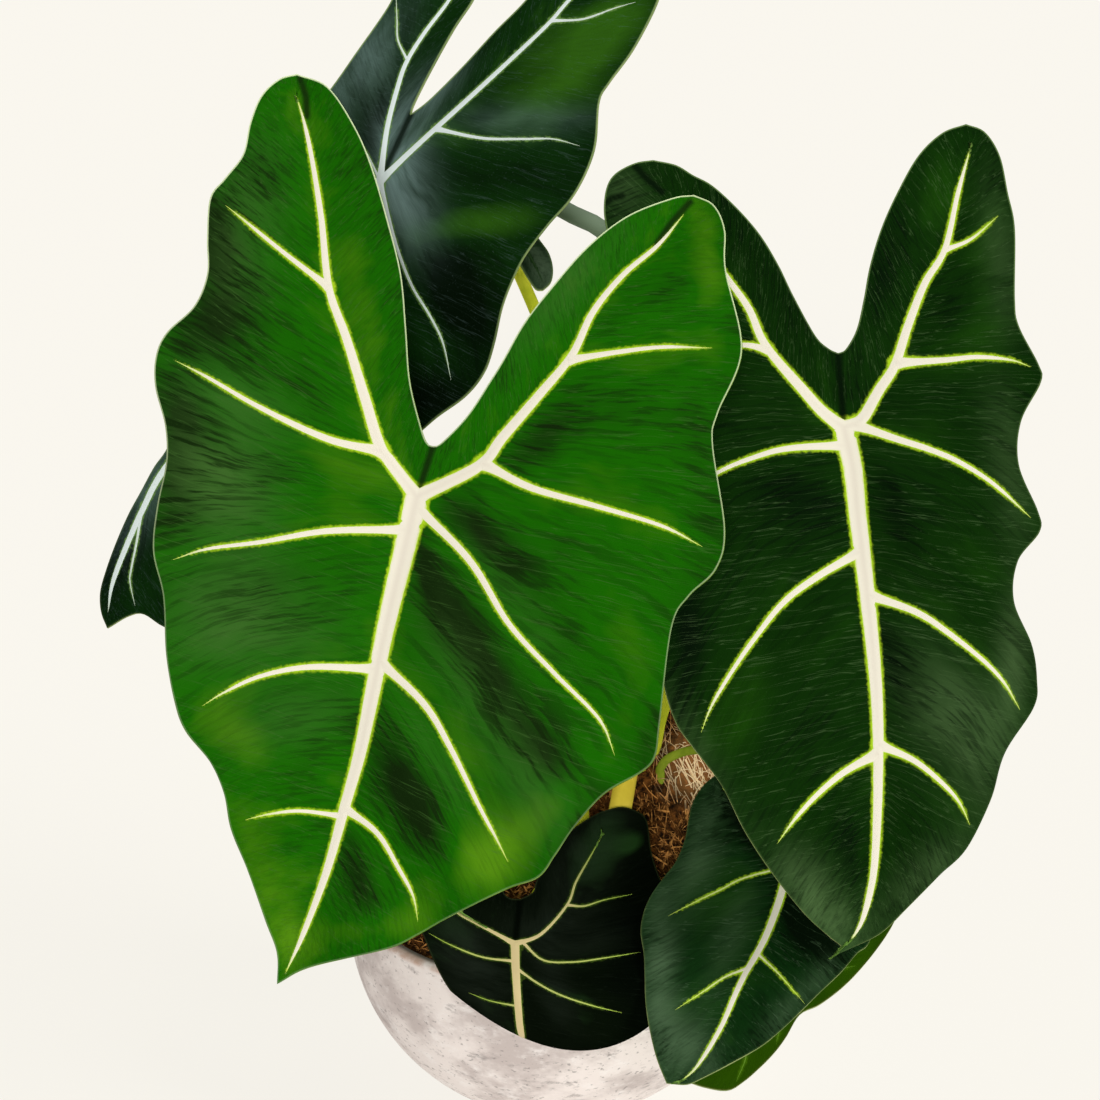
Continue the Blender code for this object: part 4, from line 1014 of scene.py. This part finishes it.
# The tall leaf behind on the left
# The largest blade, seen behind the front leaf. Its stalk is thick, grey-green and bends over from
# the right. Its veins are painted bluish white, standing in for the sky they reflect, and near the
# junction its face has a bluish grey bloom and painted sheen.
REAR_LEFT = leaf_lines(
    junction=(380, 181), behind=0.070, lean=33, turn=-24,
    margin=[
        [(411, 114), (430, 99), (462, 67), (494, 32), (521, 5), (550, -28), (585, -58), (618, -74),
         (640, -76)],
        [(658, -62), (664, -34), (658, 0), (634, 48), (609, 83), (599, 102), (594, 150), (575, 193),
         (548, 225), (526, 254), (513, 279), (502, 308), (494, 343), (484, 372), (465, 396),
         (433, 420), (404, 450), (382, 494), (350, 516), (312, 534), (280, 566), (246, 580),
         (210, 604), (185, 630), (164, 627), (143, 614), (128, 616), (107, 628)],
        [(101, 612), (100, 593), (105, 573), (115, 545), (128, 515), (141, 491), (154, 467),
         (166, 450), (182, 418), (190, 380), (208, 345), (234, 310), (240, 272), (246, 232),
         (268, 190), (284, 158), (304, 120), (331, 88), (355, 54), (387, 8), (402, -22), (425, -50),
         (452, -62)],
        [(472, -46), (479, -20), (473, 0), (454, 29), (430, 72), (414, 104)]],
    midrib=[(328, 252), (280, 320), (229, 391), (166, 467), (142, 511), (124, 552), (112, 585),
        (108, 612)],
    basals=[
        [(409, 153), (435, 129), (468, 99), (508, 62), (548, 24), (569, 0), (596, -26), (630, -58)],
        [(387, 129), (398, 86), (407, 61), (425, 32), (449, 0), (460, -24), (458, -44)]],
    laterals=[
        [(438, 131), (481, 138), (521, 139), (553, 139), (580, 146)],
        [(551, 24), (583, 19), (615, 8), (636, 2)],
        [(380, 181), (395, 241), (411, 284), (430, 316), (443, 343), (451, 380)],
        [(262, 344), (296, 400), (330, 452), (346, 506)],
        [(196, 432), (214, 490), (228, 536), (232, 576)],
        [(141, 513), (137, 540), (131, 570), (130, 582), (135, 606)],
        [(407, 61), (398, 40), (397, 20), (396, -4)],
        [(380, 181), (369, 158), (354, 132), (344, 110)], [(338, 242), (302, 236), (266, 236)]],
    fold=0.16, droop=1.0, arch=0.35, lobe_back=0.5, bulge=0.0060,
    tones=[(470, 225, 70, 18, -10, 0.45), (570, 68, 70, 32, -40, 0.55),
        (455, 300, 60, 34, 60, -0.55), (430, 400, 40, 30, 0, -0.40), (380, 120, 50, 16, 110, -0.35),
        (460, 165, 60, 16, 10, -0.15), (620, 20, 40, 24, -30, 0.15), (120, 560, 60, 24, 110, -0.50),
        (470, 60, 50, 20, -45, -0.10)],
    dust=[(400, 200, 45, 30, 70, 0.80), (360, 70, 70, 26, 120, 0.45), (430, 90, 40, 16, -45, 0.50),
        (400, 150, 40, 24, 100, 0.70), (150, 490, 60, 20, 120, 0.35), (520, 120, 70, 16, 0, 0.25)],
    foot=(0.023, -0.024), stalk_radius=(0.0048, 0.0036),
    stalk=[(626, 776, -0.014), (636, 710, 0.004), (646, 590, 0.044), (640, 400, 0.086),
        (616, 252, 0.108), (568, 212, 0.112), (485, 176, 0.108), (420, 162, 0.094)],
    widths=dict(midrib=(5.4, 2.4), basal=(3.0, 1.4), lateral=(2.0, 0.9), full=150))
blue_vein = vein_finish("bluish vein", (0.66, 0.74, 0.74, 1), (0.48, 0.58, 0.46, 1))
rear_face = blade_finish("bluish velvet leaf", (0.002, 0.006, 0.002, 1), (0.004, 0.022, 0.003, 1),
                         (0.026, 0.100, 0.006, 1), (0.14, 0.26, 0.06, 1), (0.18, 0.26, 0.10, 1),
                         (0.14, 0.215, 0.205, 1), 0.5, 0.2)
stalk_grey = plain_finish("stalk grey-green at its top", (0.72, 0.54, 0.05, 1),
                          (0.95, 0.74, 0.09, 1), 45.0, top=(0.15, 0.20, 0.14, 1))
whole_leaf("leaf_rear_left", REAR_LEFT, (80, 140, 44), rear_face, olive_edge, blue_vein,
           stalk_grey, "dark_leaf")


# The low leaf over the front rim
# A small, almost black blade that hangs over the lip and curls its tip under. Its midrib is tan
# and its other veins are thin and lime.
FRONT_LOW = leaf_lines(
    junction=(515, 944), behind=-0.092, lean=62, turn=-4,
    margin=[
        [(520, 899), (533, 892), (536, 882), (546, 858), (563, 837), (584, 821), (600, 812)],
        [(620, 807), (637, 811), (647, 821), (651, 849), (656, 868), (664, 890), (670, 930),
         (671, 970), (664, 1010), (650, 1036), (628, 1054), (600, 1066), (572, 1072), (545, 1070)],
        [(522, 1050), (502, 1033), (482, 1018), (462, 1000), (446, 980), (433, 956), (424, 936),
         (412, 912), (402, 884), (398, 854), (408, 828), (426, 812), (446, 806)],
        [(466, 816), (484, 842), (494, 866), (503, 891), (510, 898)]],
    midrib=[(516, 974), (519, 1004), (524, 1030), (533, 1050), (543, 1066)],
    basals=[
        [(541, 934), (567, 905), (576, 882), (590, 857), (603, 834)],
        [(493, 932), (474, 922), (456, 911), (440, 888), (438, 852)]],
    laterals=[
        [(567, 905), (584, 906), (604, 900), (633, 894)],
        [(524, 949), (543, 960), (573, 962), (604, 958), (641, 952)],
        [(521, 967), (539, 984), (563, 996), (594, 1006), (624, 1013)],
        [(508, 962), (482, 957), (451, 945), (429, 933)], [(514, 1007), (492, 1001), (471, 993)]],
    fold=0.10, droop=3.0, arch=0.0, lobe_back=2.0, bulge=0.0030,
    # The broad dark patch on the right is painted shade; the two bright patches near the top are
    # painted light.
    tones=[(630, 844, 14, 9, -20, 0.60), (600, 850, 40, 24, -60, 0.35),
        (640, 950, 90, 34, 90, -0.40)],
    dust=[(470, 960, 60, 26, 60, 0.45), (590, 850, 50, 26, -60, 0.55), (560, 930, 50, 24, 0, 0.35),
        (555, 990, 40, 16, 70, 0.30)],
    roll_radius=0.0170, roll_start=0.0245, roll_side=-0.026, roll_bow=13.8,
    foot=(0.018, -0.045), stalk_radius=(0.0026, 0.0018),
    stalk=[(590, 864, -0.040), (562, 862, -0.050), (530, 906, -0.068)],
    widths=dict(midrib=(4.8, 2.8), basal=(1.8, 0.8), lateral=(1.1, 0.6), full=80))
tan_vein = vein_finish("tan and lime vein", (0.62, 0.50, 0.26, 1), (0.30, 0.46, 0.04, 1))
black_face = blade_finish("blackish velvet leaf", (0.001, 0.002, 0.001, 1),
                          (0.002, 0.004, 0.0015, 1), (0.014, 0.045, 0.010, 1),
                          (0.05, 0.09, 0.01, 1), (0.10, 0.13, 0.05, 1),
                          (0.021, 0.029, 0.021, 1), 0.5, 0.0)
whole_leaf("leaf_front_low", FRONT_LOW, (50, 80, 34), black_face, olive_edge, tan_vein,
           stalk_yellow, "dark_leaf")


# The low leaf on the right and the small one under it
# Two more blades in front of the pot's right side: a dark one with a greyish bloom and painted
# sheen, and under it a young bright one with faint veins. Their thin olive stalks grow from the
# right of the heap.
RIGHT_LOW = leaf_lines(
    junction=(790, 862), behind=-0.056, lean=58, turn=12,
    margin=[
        [(800, 828), (818, 806), (838, 784), (862, 770), (880, 766)],
        [(902, 776), (908, 806), (898, 846), (884, 888), (870, 940), (857, 953), (841, 972),
         (819, 993), (800, 1012), (782, 1029), (761, 1046), (731, 1063), (704, 1077), (687, 1084),
         (667, 1083)],
        [(657, 1058), (650, 1029), (646, 1002), (645, 976), (644, 953), (641, 930), (645, 909),
         (653, 892), (664, 877), (676, 861), (685, 839), (689, 818), (693, 802), (702, 787),
         (714, 776)],
        [(732, 774), (752, 790), (774, 814), (790, 830)]],
    midrib=[(783, 888), (775, 913), (765, 938), (755, 957), (746, 972), (735, 995), (723, 1023),
        (708, 1050), (693, 1071), (679, 1082)],
    basals=[
        [(812, 838), (840, 812), (872, 786)],
        [(768, 836), (744, 810), (722, 788)]],
    laterals=[
        [(786, 864), (744, 878), (720, 890), (699, 900), (668, 916)],
        [(746, 967), (725, 977), (704, 991), (675, 1010)],
        [(763, 957), (777, 972), (792, 989), (805, 1004)],
        [(788, 872), (820, 884), (850, 904), (872, 926)]],
    fold=0.12, droop=1.6, arch=0.6, lobe_back=1.6, bulge=0.0036,
    # The two darkest patches are the painted shadow of the right leaf along its edge.
    tones=[(740, 900, 60, 30, 110, 0.20), (700, 860, 40, 16, 100, 0.20),
        (790, 985, 50, 20, -45, 0.05), (748, 828, 50, 14, 58, -0.60),
        (806, 918, 50, 26, 55, -0.60)],
    dust=[(660, 980, 90, 16, 90, 0.85), (690, 1050, 40, 24, 60, 0.70),
        (700, 850, 60, 20, 105, 0.60), (730, 940, 50, 16, 110, 0.40),
        (800, 1000, 50, 14, -45, 0.45)],
    foot=(0.0430, 0.0000), stalk_radius=(0.0019, 0.0017),
    stalk=[(660, 769, 0.000), (671, 757, -0.002), (700, 750, -0.008), (744, 762, -0.024),
        (778, 806, -0.042)],
    widths=dict(midrib=(4.2, 1.6), basal=(2.2, 1.0), lateral=(1.0, 0.6), full=80))
RIGHT_UNDER = leaf_lines(
    junction=(834, 930), behind=-0.050, lean=58, turn=24,
    margin=[
        [(842, 908), (858, 890), (878, 880), (890, 880)],
        [(900, 894), (896, 918), (876, 950), (848, 982), (820, 1004), (800, 1014), (786, 1037),
         (774, 1053), (759, 1068), (744, 1081), (728, 1090), (705, 1087), (684, 1080)],
        [(694, 1058), (700, 1028), (718, 996), (736, 966), (752, 938), (772, 914), (790, 900)],
        [(808, 898), (824, 906), (834, 912)]],
    midrib=[(806, 962), (778, 996), (744, 1034), (712, 1062), (692, 1076)],
    basals=[
        [(856, 910), (882, 892)],
        [(818, 918), (800, 906)]],
    laterals=[
        [(778, 996), (782, 1016), (776, 1044)], [(744, 1034), (746, 1056), (736, 1082)],
        [(806, 962), (836, 968), (856, 966)], [(790, 981), (764, 966), (752, 950)]],
    fold=0.10, droop=2.0, arch=0.8, lobe_back=1.6, bulge=0.0020,
    foot=(0.058, -0.020), stalk_radius=(0.0022, 0.0016),
    stalk=[(716, 822, -0.018), (756, 820, -0.016), (806, 846, -0.026), (836, 890, -0.042)],
    widths=dict(midrib=(2.6, 1.2), basal=(2.0, 0.9), lateral=(1.0, 0.5), full=60))
low_face = blade_finish("low velvet leaf", (0.002, 0.006, 0.002, 1), (0.004, 0.024, 0.004, 1),
                        (0.014, 0.064, 0.006, 1), LIME, (0.13, 0.21, 0.07, 1),
                        (0.060, 0.110, 0.055, 1), glow=0.4)
stalk_olive = plain_finish("olive stalk", (0.12, 0.19, 0.01, 1), (0.28, 0.36, 0.03, 1), 45.0)
whole_leaf("leaf_right_low", RIGHT_LOW, (50, 90, 34), low_face, olive_edge, cream_vein,
           stalk_olive, "dark_leaf")
young_face = blade_finish("young leaf", (0.01, 0.035, 0.001, 1), (0.020, 0.062, 0.001, 1),
                          (0.045, 0.120, 0.001, 1), (0.055, 0.14, 0.004, 1), (0.20, 0.10, 0.04, 1),
                          (0.05, 0.10, 0.02, 1), 0.4)
young_vein = vein_finish("young vein", (0.22, 0.40, 0.05, 1), (0.09, 0.20, 0.01, 1))
whole_leaf("leaf_right_under", RIGHT_UNDER, (24, 44, 18), young_face, olive_edge, young_vein,
           stalk_olive, "bright_leaf")


# The leaf at the rear
# A small dark blade high up behind the others that faces upwards, so only one of its lobes and a
# stretch of its yellow-green stalk show from the front.
REAR = leaf_lines(
    junction=(503, 222), behind=0.112, lean=60, turn=0,
    margin=[
        [(512, 246), (519, 262), (528, 278), (536, 289), (543, 290)],
        [(551, 282), (553, 268), (549, 253), (540, 240), (528, 222), (522, 200), (512, 178),
         (494, 158), (474, 144), (456, 138), (440, 134)],
        [(438, 152), (440, 176), (448, 200), (456, 222), (460, 246), (468, 272), (480, 294),
         (492, 300)],
        [(500, 288), (504, 270), (508, 254)]],
    midrib=[(484, 192), (464, 164), (445, 139)],
    basals=[
        [(519, 240), (532, 260), (543, 282)],
        [(496, 248), (490, 272), (489, 290)]],
    laterals=[
        [(500, 217), (508, 204), (516, 192)], [(484, 192), (488, 176), (490, 162)],
        [(500, 217), (478, 216), (456, 214)], [(484, 192), (462, 186), (444, 180)],
        [(523, 247), (534, 246), (543, 246)], [(492, 262), (478, 262), (466, 260)]],
    fold=0.10, droop=3.0, arch=1.2, lobe_back=2.5, bulge=0.0026,
    tones=[(530, 260, 60, 60, 0, -0.15)],
    dust=[(538, 262, 60, 14, 60, 0.60)],
    foot=(0.030, 0.021), stalk_radius=(0.0034, 0.0026),
    stalk=[(634, 720, 0.030), (620, 590, 0.062), (580, 420, 0.100), (536, 312, 0.120),
        (514, 262, 0.124)],
    widths=dict(midrib=(2.6, 1.2), basal=(2.0, 0.9), lateral=(1.0, 0.5), full=60))
dim_vein = vein_finish("dim vein", (0.020, 0.050, 0.012, 1), (0.008, 0.028, 0.004, 1))
dim_face = blade_finish("shaded velvet leaf", (0.002, 0.006, 0.002, 1), (0.004, 0.018, 0.004, 1),
                        (0.012, 0.050, 0.008, 1), (0.006, 0.024, 0.004, 1), (0.10, 0.15, 0.06, 1),
                        (0.085, 0.125, 0.080, 1), 0.5, 0.0)
whole_leaf("leaf_rear", REAR, (28, 34, 18), dim_face, olive_edge, dim_vein,
           stalk_yellow, "dark_leaf")
